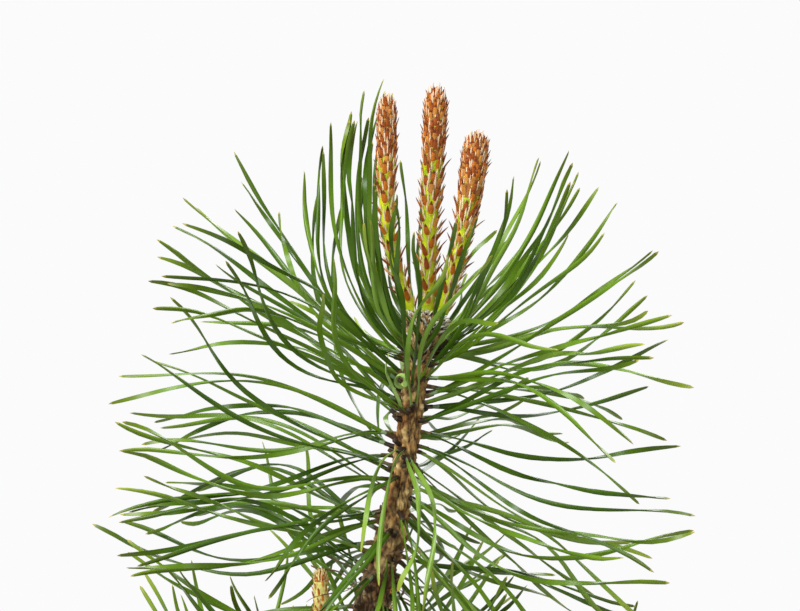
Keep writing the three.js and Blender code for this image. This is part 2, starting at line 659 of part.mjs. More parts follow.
let massIndex = 0;
for (const [tierName, tier] of Object.entries(TIERS)) {
  const halfAngle = 180 / Object.keys(tier.sides).length;
  for (const [sideName, azimuth] of Object.entries(tier.sides)) {
    plant.add(trunkMass(`${tierName}_${sideName}`, massIndex++, tier, azimuth, halfAngle));
  }
}
for (const { name, bough, limb } of limbs) {
  plant.add(boughMass(name, massIndex++, bough, limb));
}

export default plant;
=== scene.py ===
"""A young mugo pine, about 300 mm tall, in a plain terracotta pot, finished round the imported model.

The plant is grown by the same seeded rule as the model's solids, in millimetres and degrees,
and is carried finer. Meshes are made in metres. +Z is up, -Y is the front, and directions round
the plant are degrees from +X, turning through +Y.
"""

import math

import bmesh
import bpy
import numpy as np
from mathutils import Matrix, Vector, noise


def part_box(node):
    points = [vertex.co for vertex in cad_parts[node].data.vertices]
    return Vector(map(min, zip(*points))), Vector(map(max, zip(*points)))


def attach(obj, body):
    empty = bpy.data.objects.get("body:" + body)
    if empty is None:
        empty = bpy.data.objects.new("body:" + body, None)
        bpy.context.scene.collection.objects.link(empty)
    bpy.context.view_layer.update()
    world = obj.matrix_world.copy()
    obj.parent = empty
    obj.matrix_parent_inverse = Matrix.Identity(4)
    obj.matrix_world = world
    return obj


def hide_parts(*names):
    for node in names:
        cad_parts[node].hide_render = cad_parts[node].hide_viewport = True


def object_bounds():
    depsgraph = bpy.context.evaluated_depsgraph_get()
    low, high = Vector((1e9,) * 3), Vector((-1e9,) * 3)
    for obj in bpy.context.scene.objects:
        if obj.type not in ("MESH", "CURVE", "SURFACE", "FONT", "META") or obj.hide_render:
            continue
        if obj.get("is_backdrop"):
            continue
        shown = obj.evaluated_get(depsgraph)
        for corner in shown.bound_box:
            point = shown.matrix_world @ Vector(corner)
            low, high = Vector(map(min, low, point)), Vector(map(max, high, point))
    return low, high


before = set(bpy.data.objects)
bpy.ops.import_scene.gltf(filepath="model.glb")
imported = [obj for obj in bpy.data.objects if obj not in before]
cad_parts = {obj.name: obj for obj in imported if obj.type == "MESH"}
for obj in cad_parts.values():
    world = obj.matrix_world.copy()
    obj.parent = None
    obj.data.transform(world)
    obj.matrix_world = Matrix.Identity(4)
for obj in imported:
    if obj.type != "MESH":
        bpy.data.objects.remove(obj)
packed_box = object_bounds()

MM = 0.001
UP = np.array([0.0, 0.0, 1.0])
EAST = np.array([1.0, 0.0, 0.0])

# Camera: the point it looks at, and where it looks from
VIEW_MIDDLE = (12.76, 0.0, 252.2)
VIEW_DISTANCE = 489
VIEW_ELEVATION = 2
LENS = 100
SENSOR = 36

# The trunk and what it carries, as in the model's source
CLEAR = 0.3
POT_HEIGHT = 105
TRUNK_FOOT = 94.8
TRUNK_LINE = [
    [0, 0, TRUNK_FOOT], [-1, 1, 125], [0.8, 1, 155], [6, 0.3, 184],
    [11.2, -0.6, 203], [14.2, -0.5, 221], [16.6, 0, 239], [19, 0.2, 250],
]
TRUNK_GIRTH = [
    [TRUNK_FOOT, 8.5], [101, 6.2], [112, 5.2], [140, 4.5], [170, 3.9], [187, 3.5], [194, 2.9],
    [202, 3.2], [208, 2.4], [232, 2.25], [241, 2.6], [246, 3.9], [249, 4.4], [250, 4.0],
]

# The needle rule
SEED = 366
NEEDLE_RADIUS = 0.75
NEEDLE_STEPS = 12
NEEDLE_LENGTHS = 3
NEEDLE_APART = 0.1
ROOT_SHARE = 0.2
PAIR_TRIES = 14
PAIR_SPLIT = 0.07
PAIR_ROOTS_APART = 0.5
PAIR_TURN = 75
STEP_STRAY = 0.4
TURN_STRAY = 0.2
TURN_SHARE = 0.93
STRAY = {
    "length": 0.16, "longer": 0.02, "split": 0.05, "rise": 0.75, "sway": 0.7, "swing": 0.36, "partner": 0.2,
}
SPACE_HALF_ANGLE = 75
STEEP_RUN = 12
GOLDEN_SHARE = 0.618034
GOLDEN_ANGLE = 137.5
CORE_THICKNESS = 1.2
ROOT_DEPTH = 0.45
ROOT_MARGIN = 16
ROUND = {"right": 0, "back": 90, "left": 180, "front": 270}
TIERS = {
    "crown": {"low": 238.4, "high": 246, "sides": ROUND},
    "upper": {"low": 226.2, "high": 238, "sides": ROUND},
    "middle": {"low": 209.2, "high": 225.8, "sides": ROUND},
    "lower": {"low": 190.2, "high": 208.8, "sides": ROUND},
    "foot": {"low": 171, "high": 189.8, "sides": {"right": 0, "left": 180}},
}
SPRAY_WORDS = ("launch", "scatter", "rise", "close", "length", "pairs")
TRUNK_SPRAYS = {
    "crown_right": (60, 24, 0.8, 0.4, 57, 7),
    "crown_back": (56, 16, 0.7, 0.3, 48, 4),
    "crown_left": (76, 20, 1.7, 0.8, 60, 7),
    "crown_front": (60, 14, 0.8, 0.3, 44, 3),
    "upper_right": (80, 26, 0.1, 0, 67, 6),
    "upper_back": (75, 16, 0.1, 0, 58, 5),
    "upper_left": (64, 15, -0.15, -0.1, 70, 9),
    "upper_front": (76, 18, 0.2, 0, 52, 4),
    "middle_right": (106, 16, 0, 0, 66, 7),
    "middle_back": (95, 18, -0.1, 0, 58, 6),
    "middle_left": (86, 16, -0.1, 0, 70, 8),
    "middle_front": (112, 18, -0.3, 0, 52, 3),
    "lower_right": (119, 18, -0.05, 0, 69, 8),
    "lower_back": (105, 20, -0.2, 0, 58, 6),
    "lower_left": (96, 18, -0.2, 0, 69, 9),
    "lower_front": (118, 18, -0.3, 0, 54, 4),
    "foot_right": (108, 18, -0.1, 0, 58, 6),
    "foot_left": (98, 20, -0.1, 0, 58, 6),
}
BOUGH_WORDS = ("height", "azimuth", "reach", "climb", "girth", "bare", "pairs")
BOUGHS = {
    "low_right": (122, 20, 70, 21, (2.6, 1.5), 0.34, 15),
    "low_back": (126, 112, 66, 24, (2.5, 1.5), 0.34, 15),
    "low_left": (120, 204, 72, 21, (2.6, 1.5), 0.34, 15),
    "low_front": (124, 292, 64, 22, (2.5, 1.5), 0.34, 15),
    "high_right": (151, 334, 40, 17, (2.1, 1.4), 0.4, 13),
    "high_back": (154, 78, 36, 20, (2.1, 1.4), 0.42, 13),
    "high_left": (149, 248, 10, 27, (1.9, 1.4), 0.62, 10),
}
BOUGH_LEVEL = 0.35
BOUGH_SWEEP = 0.55
NEEDLES_IN = 0.06
NEEDLES_OUT = 0.98
BOUGH_NEEDLE = 50
BOUGH_LAUNCH_LOW = 74
BOUGH_LAUNCH_HIGH = 40
BOUGH_SCATTER = 14
BOUGH_RISE = 0.15
BOUGH_LIFT = 0.35
POT_HEADROOM = 2
BOUGH_TURN_STRAY = 20
BOUGH_ROOT_DEPTH = 0.3
TOP_CANDLES = {
    "left": [[15.6, 0.6, 250.3], [11.6, 1.1, 261.5], [9.9, 1.1, 274], [9.9, 0.5, 299]],
    "centre": [[18.9, 0.1, 250.3], [19.1, 0, 262], [19.5, 0, 275], [20.9, 0, 301]],
    "right": [[22.1, -0.8, 250.3], [25, -1.2, 261.5], [27.5, -1, 273], [29.9, -0.5, 290.6]],
}
BOUGH_CANDLE_LENGTH = 19
BOUGH_CANDLE_LIFT = 0.6
BOUGH_CANDLE_RADIUS = 1.7
BOUGH_CANDLE_ROOM = BOUGH_CANDLE_RADIUS + 0.6
CANDLE_ROOM = (1.6, 2.8)
KNOB_ROOM_TO = 0.97

# The finer growth between the model's needles: more pairs for each mass, as a share of its own
FINE_PAIRS = {"crown": 0.4, "upper": 0.1, "middle": 0, "lower": 0, "foot": 0, "low": 0.7, "high": 0.1}
FINE_SEED = 30000
FINE_NEEDLE_RADIUS = 0.5

# A needle: half round, flat towards its partner, twisted, with a short dry tip
NEEDLE_WIDTH = 1.16
NEEDLE_THICKNESS = 0.47
NEEDLE_OUTLINE = [(1, 0), (0.52, 0.86), (-0.52, 0.86), (-1, 0)]
NEEDLE_STRETCHES = 22
NEEDLE_PARTS = [0, 0.035, 0.12, 0.23, 0.82, 0.94, 0.985, 1]
NEEDLE_GIRTHS = [0.62, 0.74, 0.9, 1, 1, 0.88, 0.6, 0]
NEEDLE_TWIST = (140, 430)
NEEDLE_WAVE = (0.2, 1.1)
NEEDLE_WAVES = (1.2, 2.4)
NEEDLE_WIDTHS = (0.88, 1.06)
TWIST_STRAY = (0.8, 1.2)
GATHERED = 0.45
GATHERED_TO = 0.2
DEALT_GREENS = {"deep": 0.38, "leaf": 0.44, "fresh": 0.18}
DEAD_SHARE = {"foot_right": 0.1, "foot_left": 0.1, "low": 0.04, "high": 0.05}
DEAD_LENGTH = 0.5
DEAD_WIDTH = 0.55
PALE_FOOT_SHARE = 0.35
DEAD_STRANDS = 13
STRAND_HEIGHTS = (182, 201)
STRAND_LENGTH = (9, 24)
STRAND_WIDTH = 0.42
STRAND_WIDTHS = (0.7, 1.4)
STRAND_TWIST = 60
STRAND_RISE = (-0.9, 0.5)
STRAND_DIP = (-0.5, 0.5)
STRAND_AIM = (-0.5, 0.4)
CURL_MIDDLE = (13.0, 236.1)
CURL_TURNS = (-35, -445)
CURL_REACH = (1.6, 1.0)
CURL_DEPTH = (-2.4, -7.6)
CURL_WIDTH = 1.35
CURL_STEPS = 14
BENT_WIDTH = 0.7
BENT_TWIST = 120
BENT_NEEDLE = [[13.4, -1.4, 229], [12.3, -3, 232], [10.9, -3.4, 235], [9.8, -3.1, 238.2], [10.4, -2.6, 242]]
SHEATH_LENGTH = (1.2, 2.8)
SHEATH_RADIUS = (0.5, 0.62)
SHEATH_SIDES = 6
SHEATH_FOOT = {"inward": 0.9, "back": 0.4}
SHEATH_STATIONS = [0.05, 0.35, 0.8, 0.93, 1]
SHEATH_WIDTHS = [1.2, 1.15, 1.1, 1.2, 1.0, 0]
SHEATH_HEIGHTS = [1.1, 1.0, 0.9, 0.9, 0.8, 0]
OLD_STUBS = 70
STUB_LENGTH = (0.6, 2.2)
STUB_LEANS = (35, 95)


def unit(vector):
    """The vector, or each row, at length 1."""
    return vector / np.linalg.norm(vector, axis=-1, keepdims=True)


def linear(colour):
    """A linear colour with alpha from an sRGB hex value."""
    channels = [(colour >> shift & 255) / 255 for shift in (16, 8, 0)]
    return (*[c / 12.92 if c <= 0.04045 else ((c + 0.055) / 1.055) ** 2.4 for c in channels], 1.0)


# Curves

def curve_at(points, shares):
    """Places on the smooth curve that runs through all the points, at shares of its stretches."""
    points = np.asarray(points, float)
    last = len(points) - 1
    place = np.clip(np.atleast_1d(shares), 0, 1) * last
    knot = np.minimum(place.astype(int), last - 1)
    part = (place - knot)[:, None]
    padded = np.vstack([2 * points[0] - points[1], points, 2 * points[-1] - points[-2]])
    before, start, end, after = (padded[knot + i] for i in range(4))
    leaving = (end - before) / 2
    arriving = (after - start) / 2
    square = 3 * (end - start) - 2 * leaving - arriving
    cube = 2 * (start - end) + leaving + arriving
    return start + leaving * part + square * part**2 + cube * part**3


def heading_at(points, shares):
    """Unit directions along the curve at the shares."""
    shares = np.atleast_1d(shares)
    step = 0.0001
    ahead = curve_at(points, np.minimum(shares + step, 1))
    behind = curve_at(points, np.maximum(shares - step, 0))
    return unit(ahead - behind)


def point_at(points, share):
    return curve_at(points, share)[0]


def direction_at(points, share):
    return heading_at(points, share)[0]


def measured(points):
    """Shares of the curve, and the length of it that is behind at each."""
    shares = np.linspace(0, 1, 400)
    steps = np.linalg.norm(np.diff(curve_at(points, shares), axis=0), axis=1)
    return shares, np.append(0, np.cumsum(steps))


def around(along, turn):
    """A direction square to the limb, turned round it from +X."""
    first = unit(EAST - along * (EAST @ along))
    second = np.cross(along, first)
    return first * math.cos(turn) + second * math.sin(turn)


def leaning(along, out, degrees):
    """The direction that leans from along towards out by this many degrees."""
    lean = math.radians(degrees)
    return along * math.cos(lean) + out * math.sin(lean)


def stance(line, share, turn):
    """A point of the line, its heading there, and the way out from it at a turn in degrees."""
    along = direction_at(line, share)
    return point_at(line, share), along, around(along, math.radians(turn))


def polar(azimuth):
    turn = math.radians(azimuth)
    return np.array([math.cos(turn), math.sin(turn)])


def mix(low, high, share):
    return low + (high - low) * share


# The limbs

TRUNK_SHARES = np.linspace(0, 1, 8001)
TRUNK_HEIGHTS = curve_at(TRUNK_LINE, TRUNK_SHARES)[:, 2]


def trunk_share(height):
    return np.interp(height, TRUNK_HEIGHTS, TRUNK_SHARES)


def trunk_radius(height):
    levels, radii = np.array(TRUNK_GIRTH).T
    return np.interp(height, levels, radii)


def trunk_stance(height, turn):
    return stance(TRUNK_LINE, trunk_share(height), turn)


def bough_line(bough):
    """Five points from the middle of the trunk to the foot of the bough's candle."""
    root = point_at(TRUNK_LINE, trunk_share(bough["height"]))
    line = []
    for share in (0, 0.25, 0.5, 0.75, 1):
        out = bough["reach"] * share * (1 + BOUGH_LEVEL * (1 - share))
        up = bough["climb"] * share * (1 - BOUGH_SWEEP * (1 - share))
        line.append(root + np.append(polar(bough["azimuth"]) * out, up))
    return np.array(line)


def bough_candle_line(line):
    along = direction_at(line, 1)
    foot = point_at(line, 1) + along * CLEAR
    middle = foot + along * BOUGH_CANDLE_LENGTH * 0.5
    lifted = unit(mix(along, UP, BOUGH_CANDLE_LIFT))
    return np.array([foot, middle, middle + lifted * BOUGH_CANDLE_LENGTH * 0.5])


def candle_radius(share, foot, full):
    return np.interp(share, [0, 0.35, 0.6, 0.95, 1], [foot, foot, full, full, full * 0.6])


boughs = {name: dict(zip(BOUGH_WORDS, sizes)) for name, sizes in BOUGHS.items()}
for bough in boughs.values():
    bough["line"] = bough_line(bough)
    bough["candle"] = bough_candle_line(bough["line"])


# The needle rule

WORD = 0xFFFFFFFF


def draws_from(seed):
    """Repeatable draws from -1 to 1."""
    state = seed & WORD
    while True:
        state = (state + 0x6D2B79F5) & WORD
        mixed = ((state ^ (state >> 15)) * (state | 1)) & WORD
        again = ((mixed ^ (mixed >> 7)) * (mixed | 61)) & WORD
        mixed ^= (mixed + again) & WORD
        yield (mixed ^ (mixed >> 14)) / (WORD + 1) * 2 - 1


def needle_path(root, spot, launch, bend, length):
    """The needle's line, in even steps that bend as it grows."""
    share = ((np.arange(NEEDLE_STEPS) + 0.5) / NEEDLE_STEPS)[:, None]
    swing = np.sin(2 * math.pi * share)
    heading = launch + spot["along"] * (bend["rise"] * share + bend["dip"] * swing)
    heading = heading - spot["out"] * bend["close"] * share
    heading = heading + spot["side"] * (bend["sway"] * share + bend["wave"] * swing)
    heading = heading + UP * bend["lift"] * share
    steps = unit(heading) * length / NEEDLE_STEPS
    return root + np.vstack([np.zeros(3), np.cumsum(steps, axis=0)])


def needle_pair(spot, spray, draw):
    """Two needles from one root, and the direction that parts them."""
    launch = leaning(spot["along"], spot["out"], spot["launch"] + spray["scatter"] * draw[2])
    length = spray["length"] * (1 - STRAY["length"] * abs(draw[3]))
    split = PAIR_SPLIT + STRAY["split"] * draw[8]
    apart = leaning(spot["side"], np.cross(launch, spot["side"]), PAIR_TURN * draw[9])
    paths = []
    for sign in (-1, 1):
        aim = unit(launch + apart * sign * split)
        bend = {
            "rise": spray["rise"] + STRAY["rise"] * draw[4] + sign * STRAY["partner"] * draw[10],
            "close": spray["close"],
            "sway": STRAY["sway"] * draw[5] + sign * STRAY["partner"] * draw[11],
            "wave": STRAY["swing"] * draw[6],
            "dip": STRAY["swing"] * draw[7],
            "lift": spray["lift"],
        }
        root = spot["root"] + spot["side"] * sign * PAIR_ROOTS_APART
        paths.append(needle_path(root, spot, aim, bend, length * (1 + sign * STRAY["longer"])))
    return paths, launch, apart


class Taken:
    """The lengths of needle and limb that are already in place, each a line with a radius."""

    def __init__(self):
        self.start = np.zeros((0, 3))
        self.end = np.zeros((0, 3))
        self.radius = np.zeros(0)
        self.mass = np.zeros(0, object)
        self.needle = np.zeros(0, bool)

    def claim(self, mass, knots, radii, needle=False):
        count = len(knots) - 1
        self.start = np.vstack([self.start, knots[:-1]])
        self.end = np.vstack([self.end, knots[1:]])
        self.radius = np.append(self.radius, radii)
        self.mass = np.append(self.mass, [mass] * count)
        self.needle = np.append(self.needle, [needle] * count)

    def claim_limb(self, mass, line, low, high, radius_at, steps):
        shares = np.linspace(low, high, steps + 1)
        middles = (shares[:-1] + shares[1:]) / 2
        self.claim(mass, curve_at(line, shares), np.array([radius_at(s) for s in middles]) + CLEAR)

    def gaps(self, start, end):
        """The least distance from a line, or from one of several starts, to each line in place."""
        first = end - start
        second = self.end - self.start
        between = start - self.start
        first_square = (first * first).sum(-1)
        second_square = (second * second).sum(-1)
        mixed = (first * second).sum(-1)
        first_shift = (first * between).sum(-1)
        second_shift = (second * between).sum(-1)
        spread = first_square * second_square - mixed * mixed
        level = np.where(spread > 1e-9, spread, 1)
        s = np.where(spread > 1e-9, (mixed * second_shift - first_shift * second_square) / level, 0)
        s = np.clip(s, 0, 1)
        t = (mixed * s + second_shift) / second_square
        s = np.where(t < 0, np.clip(-first_shift / first_square, 0, 1), s)
        s = np.where(t > 1, np.clip((mixed - first_shift) / first_square, 0, 1), s)
        t = np.clip(t, 0, 1)
        return np.linalg.norm(between + first * s[:, None] - second * t[:, None], axis=1)

    def free(self, path, mass, radius):
        """Whether a needle of the mass touches nothing along this path."""
        knots = path[:: NEEDLE_STEPS // NEEDLE_LENGTHS]
        own = self.mass == mass
        fellow = (own & self.needle)[:, None]
        near = mix(knots[0], knots[1], ROOT_SHARE)
        far = mix(knots[0], knots[1], ROOT_SHARE * 2)
        asked = ~own | self.needle
        for i in range(NEEDLE_LENGTHS):
            start = np.where(fellow, far, near) if i == 0 else knots[i]
            if (asked & (self.gaps(start, knots[i + 1]) < self.radius + radius)).any():
                return False
        return True


def grow(taken, mass, seed, spray, spot_for, in_space, radius):
    """Grows a mass of needle pairs: one that would touch or leave its space is drawn again."""
    draws = draws_from(seed)
    grown = []
    for i in range(spray["pairs"]):
        for _ in range(PAIR_TRIES):
            draw = [next(draws) for _ in range(12)]
            step = (i + 0.5 + STEP_STRAY * draw[0]) / spray["pairs"]
            spot = spot_for(i, step, draw[1])
            paths, launch, apart = needle_pair(spot, spray, draw)
            if not all(in_space(path) and taken.free(path, mass, radius) for path in paths):
                continue
            for path in paths:
                knots = path[:: NEEDLE_STEPS // NEEDLE_LENGTHS].copy()
                knots[0] = mix(knots[0], knots[1], ROOT_SHARE)
                taken.claim(mass, knots, np.full(NEEDLE_LENGTHS, radius + NEEDLE_APART), True)
            grown.append({**spot, "mass": mass, "paths": paths, "aim": launch, "apart": apart})
            break
    return grown


def spot_on(line, share, turn, rooted_turn, depth, launch):
    """A pair's place on a limb: its root, the directions it grows by and its angle from the limb."""
    middle, along, out = stance(line, share, turn)
    rooted = around(along, math.radians(rooted_turn))
    return {
        "root": middle + rooted * depth,
        "along": along,
        "out": out,
        "side": np.cross(along, out),
        "rooted": rooted,
        "launch": launch,
    }


def trunk_mass(taken, name, seed, spray, tier, azimuth, half_angle, radius):
    def spot_for(i, step, stray):
        height = mix(tier["low"] + NEEDLE_RADIUS, tier["high"] - NEEDLE_RADIUS, step)
        even = i * GOLDEN_SHARE % 1 * 2 - 1
        stray = (1 - TURN_STRAY) * even + TURN_STRAY * stray
        turn = azimuth + half_angle * TURN_SHARE * stray
        rooted_turn = azimuth + (half_angle - ROOT_MARGIN) * stray
        depth = trunk_radius(height) + CLEAR + CORE_THICKNESS * ROOT_DEPTH
        return spot_on(TRUNK_LINE, trunk_share(height), turn, rooted_turn, depth, spray["launch"])

    facing = polar(azimuth)
    narrow = math.cos(math.radians(max(SPACE_HALF_ANGLE, half_angle)))

    def in_space(path):
        run = (path[-1] - path[0])[:2]
        return np.hypot(*run) < STEEP_RUN or run @ facing >= np.hypot(*run) * narrow

    return grow(taken, name, seed, spray, spot_for, in_space, radius)


def bough_mass(taken, name, seed, spray, bough, radius):
    def spot_for(i, step, stray):
        share = mix(bough["bare"], 1, mix(NEEDLES_IN, NEEDLES_OUT, step))
        turn = GOLDEN_ANGLE * i + BOUGH_TURN_STRAY * stray
        depth = mix(*bough["girth"], share) * BOUGH_ROOT_DEPTH
        launch = mix(BOUGH_LAUNCH_LOW, BOUGH_LAUNCH_HIGH, step)
        return spot_on(bough["line"], share, turn, turn, depth, launch)

    def in_space(path):
        return (path[:, 2] > POT_HEIGHT + POT_HEADROOM).all()

    return grow(taken, name, seed, spray, spot_for, in_space, radius)


def taken_by_limbs():
    """The room that trunk, knob, candles and boughs hold before the first needle grows."""
    taken = Taken()
    crown = trunk_share(TIERS["crown"]["low"])
    wood = lambda share: trunk_radius(point_at(TRUNK_LINE, share)[2])
    taken.claim_limb("trunk", TRUNK_LINE, 0, crown, lambda s: wood(s) + CORE_THICKNESS, steps=36)
    taken.claim_limb("knob", TRUNK_LINE, crown, KNOB_ROOM_TO, wood, steps=4)
    for name, line in TOP_CANDLES.items():
        taken.claim_limb(f"candle_{name}", line, 0, 1, lambda s: candle_radius(s, *CANDLE_ROOM), steps=8)
    for name, bough in boughs.items():
        girth = lambda s: mix(*bough["girth"], s)
        taken.claim_limb(f"candle_{name}", bough["candle"], 0, 1, lambda s: BOUGH_CANDLE_ROOM, steps=3)
        taken.claim_limb(f"bough_{name}", bough["line"], 0, bough["bare"], girth, steps=3)
        taken.claim_limb(name, bough["line"], bough["bare"], 1, girth, steps=4)
    return taken


def grow_all():
    """Every needle pair: the model's own first, then the finer ones between them."""
    taken = taken_by_limbs()
    bough_spray = dict(zip(SPRAY_WORDS, (0, BOUGH_SCATTER, BOUGH_RISE, 0, BOUGH_NEEDLE)), lift=BOUGH_LIFT)
    grown = []
    for seed, radius, more in (
        (SEED * 100, NEEDLE_RADIUS, dict.fromkeys(FINE_PAIRS, 1)),
        (SEED * 100 + FINE_SEED, FINE_NEEDLE_RADIUS, FINE_PAIRS),
    ):
        index = seed
        for tier_name, tier in TIERS.items():
            for side, azimuth in tier["sides"].items():
                name = f"{tier_name}_{side}"
                spray = dict(zip(SPRAY_WORDS, TRUNK_SPRAYS[name]), lift=0)
                spray["pairs"] = round(spray["pairs"] * more[tier_name])
                half_angle = 180 / len(tier["sides"])
                grown += trunk_mass(taken, name, index, spray, tier, azimuth, half_angle, radius)
                index += 1
        for name, bough in boughs.items():
            spray = {**bough_spray, "pairs": round(bough["pairs"] * more[name.split("_")[0]])}
            grown += bough_mass(taken, name, index, spray, bough, radius)
            index += 1
    return grown


# Finished pieces

def linked(name, data):
    """A new object in the scene that shows a mesh, a light or a camera."""
    thing = bpy.data.objects.new(name, data)
    bpy.context.collection.objects.link(thing)
    return thing


def placed(name, mesh, materials):
    for material in materials:
        mesh.materials.append(material)
    return linked(name, mesh)


def piece_from(body, name, *materials, smooth=True):
    """A new object in the scene from a finished bmesh."""
    mesh = bpy.data.meshes.new(name)
    body.to_mesh(mesh)
    body.free()
    if smooth:
        mesh.shade_smooth()
    return placed(name, mesh, materials)


class Heap:
    """Many small grown things, gathered as arrays and joined into one mesh."""

    def __init__(self):
        self.places = []
        self.faces = []
        self.slots = []
        self.marks = []
        self.count = 0

    def sweep(self, line, across, outline, widths, heights, slots):
        """A closed spike: rings of the outline along the line, narrowing to a point at its end.

        Each ring lies square to the line, x along its across and y away from the flat side. The
        slots give each stretch its place among the materials."""
        line = np.asarray(line, float)
        along = unit(np.gradient(line, axis=0))
        across = unit(across - along * (across * along).sum(-1, keepdims=True))
        away = np.cross(along, across)
        outline = np.asarray(outline, float)
        x = outline[:, 0] * np.asarray(widths, float)[:-1, None]
        y = outline[:, 1] * np.asarray(heights, float)[:-1, None]
        rings = line[:-1, None] + across[:-1, None] * x[..., None] + away[:-1, None] * y[..., None]
        sides = len(outline)
        stretches = len(line) - 1
        corner = self.count + np.arange(stretches * sides).reshape(stretches, sides)
        tip = self.count + stretches * sides
        self.places.append(np.vstack([rings.reshape(-1, 3), line[-1]]))
        self.count = tip + 1
        self.faces.append(tuple(corner[0][::-1]))
        self.slots.append(slots[0])
        self.marks.append([(0.5, 0.0)] * sides)
        for i in range(stretches):
            for j in range(sides):
                k = (j + 1) % sides
                low, high = i / stretches, (i + 1) / stretches
                left, right = j / sides, (j + 1) / sides
                if i < stretches - 1:
                    self.faces.append((corner[i][j], corner[i][k], corner[i + 1][k], corner[i + 1][j]))
                    self.marks.append([(left, low), (right, low), (right, high), (left, high)])
                else:
                    self.faces.append((corner[i][j], corner[i][k], tip))
                    self.marks.append([(left, low), (right, low), ((left + right) / 2, high)])
                self.slots.append(slots[min(i, len(slots) - 1)])

    def mesh(self, name, materials, sharp=75):
        mesh = bpy.data.meshes.new(name)
        mesh.from_pydata(np.vstack(self.places) * MM, [], self.faces)
        piece = placed(name, mesh, materials)
        mesh.polygons.foreach_set("material_index", self.slots)
        mesh.shade_smooth()
        mesh.set_sharp_from_angle(angle=math.radians(sharp))
        marks = mesh.uv_layers.new(name="along_and_round")
        marks.uv.foreach_set("vector", np.array([m for face in self.marks for m in face], "f").ravel())
        mesh.update()
        return piece


def settle(slot, nodes, *pieces):
    """Finished pieces ride on the plant's one body and stand for these nodes."""
    for piece in pieces:
        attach(piece, "root")
        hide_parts(*nodes)


# Materials

def add(tree, kind, settings=None, links=None, stops=None, **properties):
    """Adds a node with its properties, the settings of its sockets, its links and its colour stops."""
    node = tree.nodes.new(kind)
    for name, value in properties.items():
        setattr(node, name, value)
    for socket, value in (settings or {}).items():
        node.inputs[socket].default_value = value
    for socket, source in (links or {}).items():
        tree.links.new(source, node.inputs[socket])
    if stops:
        elements = node.color_ramp.elements
        for element, (place, colour) in zip(elements, stops[:2]):
            element.position = place
            element.color = linear(colour)
        for place, colour in stops[2:]:
            elements.new(place).color = linear(colour)
    return node


def blank_material(name, settings):
    """A new material whose shader has these settings: the material, its node tree, its shader, and
    the place of each point in the object's own metres."""
    material = bpy.data.materials.new(name)
    material.use_nodes = True
    tree = material.node_tree
    shader = tree.nodes["Principled BSDF"]
    for socket, value in settings.items():
        shader.inputs[socket].default_value = value
    places = add(tree, "ShaderNodeTexCoord").outputs["Object"]
    return material, tree, shader, places


def scale_for(size):
    """The scale at which a pattern's features are about this many millimetres."""
    return 1 / (size * MM)


def needle_wax(name, colour, lighter, end):
    """Living pine needle: a tough green skin under a thin wax, so it's glossy in long narrow streaks.

    Fine pale lines of pores run along it, a tenth of a millimetre apart. Here one pale streak along
    the middle of each face stands for them, and is partly a painted highlight: the light streak that a
    lit needle shows. The skin turns olive towards the needle's end."""
    wax = {"Roughness": 0.32, "IOR": 1.45, "Specular IOR Level": 0.22}
    material, tree, shader, places = blank_material(name, wax)
    mottle = add(tree, "ShaderNodeTexNoise", {"Scale": scale_for(7), "Detail": 3}, {"Vector": places})
    marks = add(tree, "ShaderNodeUVMap", uv_map="along_and_round").outputs["UV"]
    # One pale streak along the middle of each face: partly the pore lines, partly a painted highlight
    pores_and_sheen = add(
        tree, "ShaderNodeTexWave", {"Scale": math.pi * 0.4, "Distortion": 0}, {"Vector": marks},
        wave_type="BANDS", bands_direction="X",
    )
    run = add(tree, "ShaderNodeSeparateXYZ", links={"Vector": marks}).outputs["Y"]
    late = add(
        tree, "ShaderNodeMapRange", {"From Min": 0.76, "From Max": 1.0, "To Max": 0.8}, {"Value": run}
    )
    tint = add(
        tree, "ShaderNodeMix", {6: linear(colour), 7: linear(lighter)}, {0: mottle.outputs["Fac"]},
        data_type="RGBA",
    )
    faint = add(tree, "ShaderNodeMath", {1: 0.2}, {0: pores_and_sheen.outputs["Fac"]}, operation="MULTIPLY")
    pores_and_sheen_tint = add(
        tree, "ShaderNodeMix", {7: linear(lighter)}, {0: faint.outputs[0], 6: tint.outputs[2]},
        data_type="RGBA",
    )
    ended = add(
        tree, "ShaderNodeMix", {7: linear(end)}, {0: late.outputs["Result"], 6: pores_and_sheen_tint.outputs[2]},
        data_type="RGBA",
    )
    tree.links.new(ended.outputs[2], shader.inputs["Base Color"])
    return material


def dry_scale(name, dark, light, size=0.8, roughness=0.6):
    """Thin dry scale or sheath: papery and matt, uneven in tone over size in millimetres."""
    paper = {"Roughness": roughness, "IOR": 1.45, "Specular IOR Level": 0.3}
    material, tree, shader, places = blank_material(name, paper)
    mottle = add(tree, "ShaderNodeTexNoise", {"Scale": scale_for(size), "Detail": 3}, {"Vector": places})
    tint = add(
        tree, "ShaderNodeMix", {6: linear(dark), 7: linear(light)}, {0: mottle.outputs["Fac"]},
        data_type="RGBA",
    )
    tree.links.new(tint.outputs[2], shader.inputs["Base Color"])
    return material


def dry_scales(*rows, **looks):
    return [dry_scale(*row, **looks) for row in rows]


def tender_shoot():
    """This year's shoot: soft, juicy and yellow-green, with some light passing under its skin."""
    skin = {
        "Roughness": 0.42, "IOR": 1.4, "Subsurface Weight": 0.25,
        "Subsurface Radius": (0.7, 1.0, 0.2), "Subsurface Scale": 0.6 * MM,
    }
    material, tree, shader, places = blank_material("tender_shoot", skin)
    mottle = add(tree, "ShaderNodeTexNoise", {"Scale": scale_for(2.5), "Detail": 3}, {"Vector": places})
    tint = add(
        tree, "ShaderNodeValToRGB", links={"Fac": mottle.outputs["Fac"]},
        stops=[(0.3, 0x869F08), (0.7, 0xC6D010)],
    )
    tree.links.new(tint.outputs["Color"], shader.inputs["Base Color"])
    return material


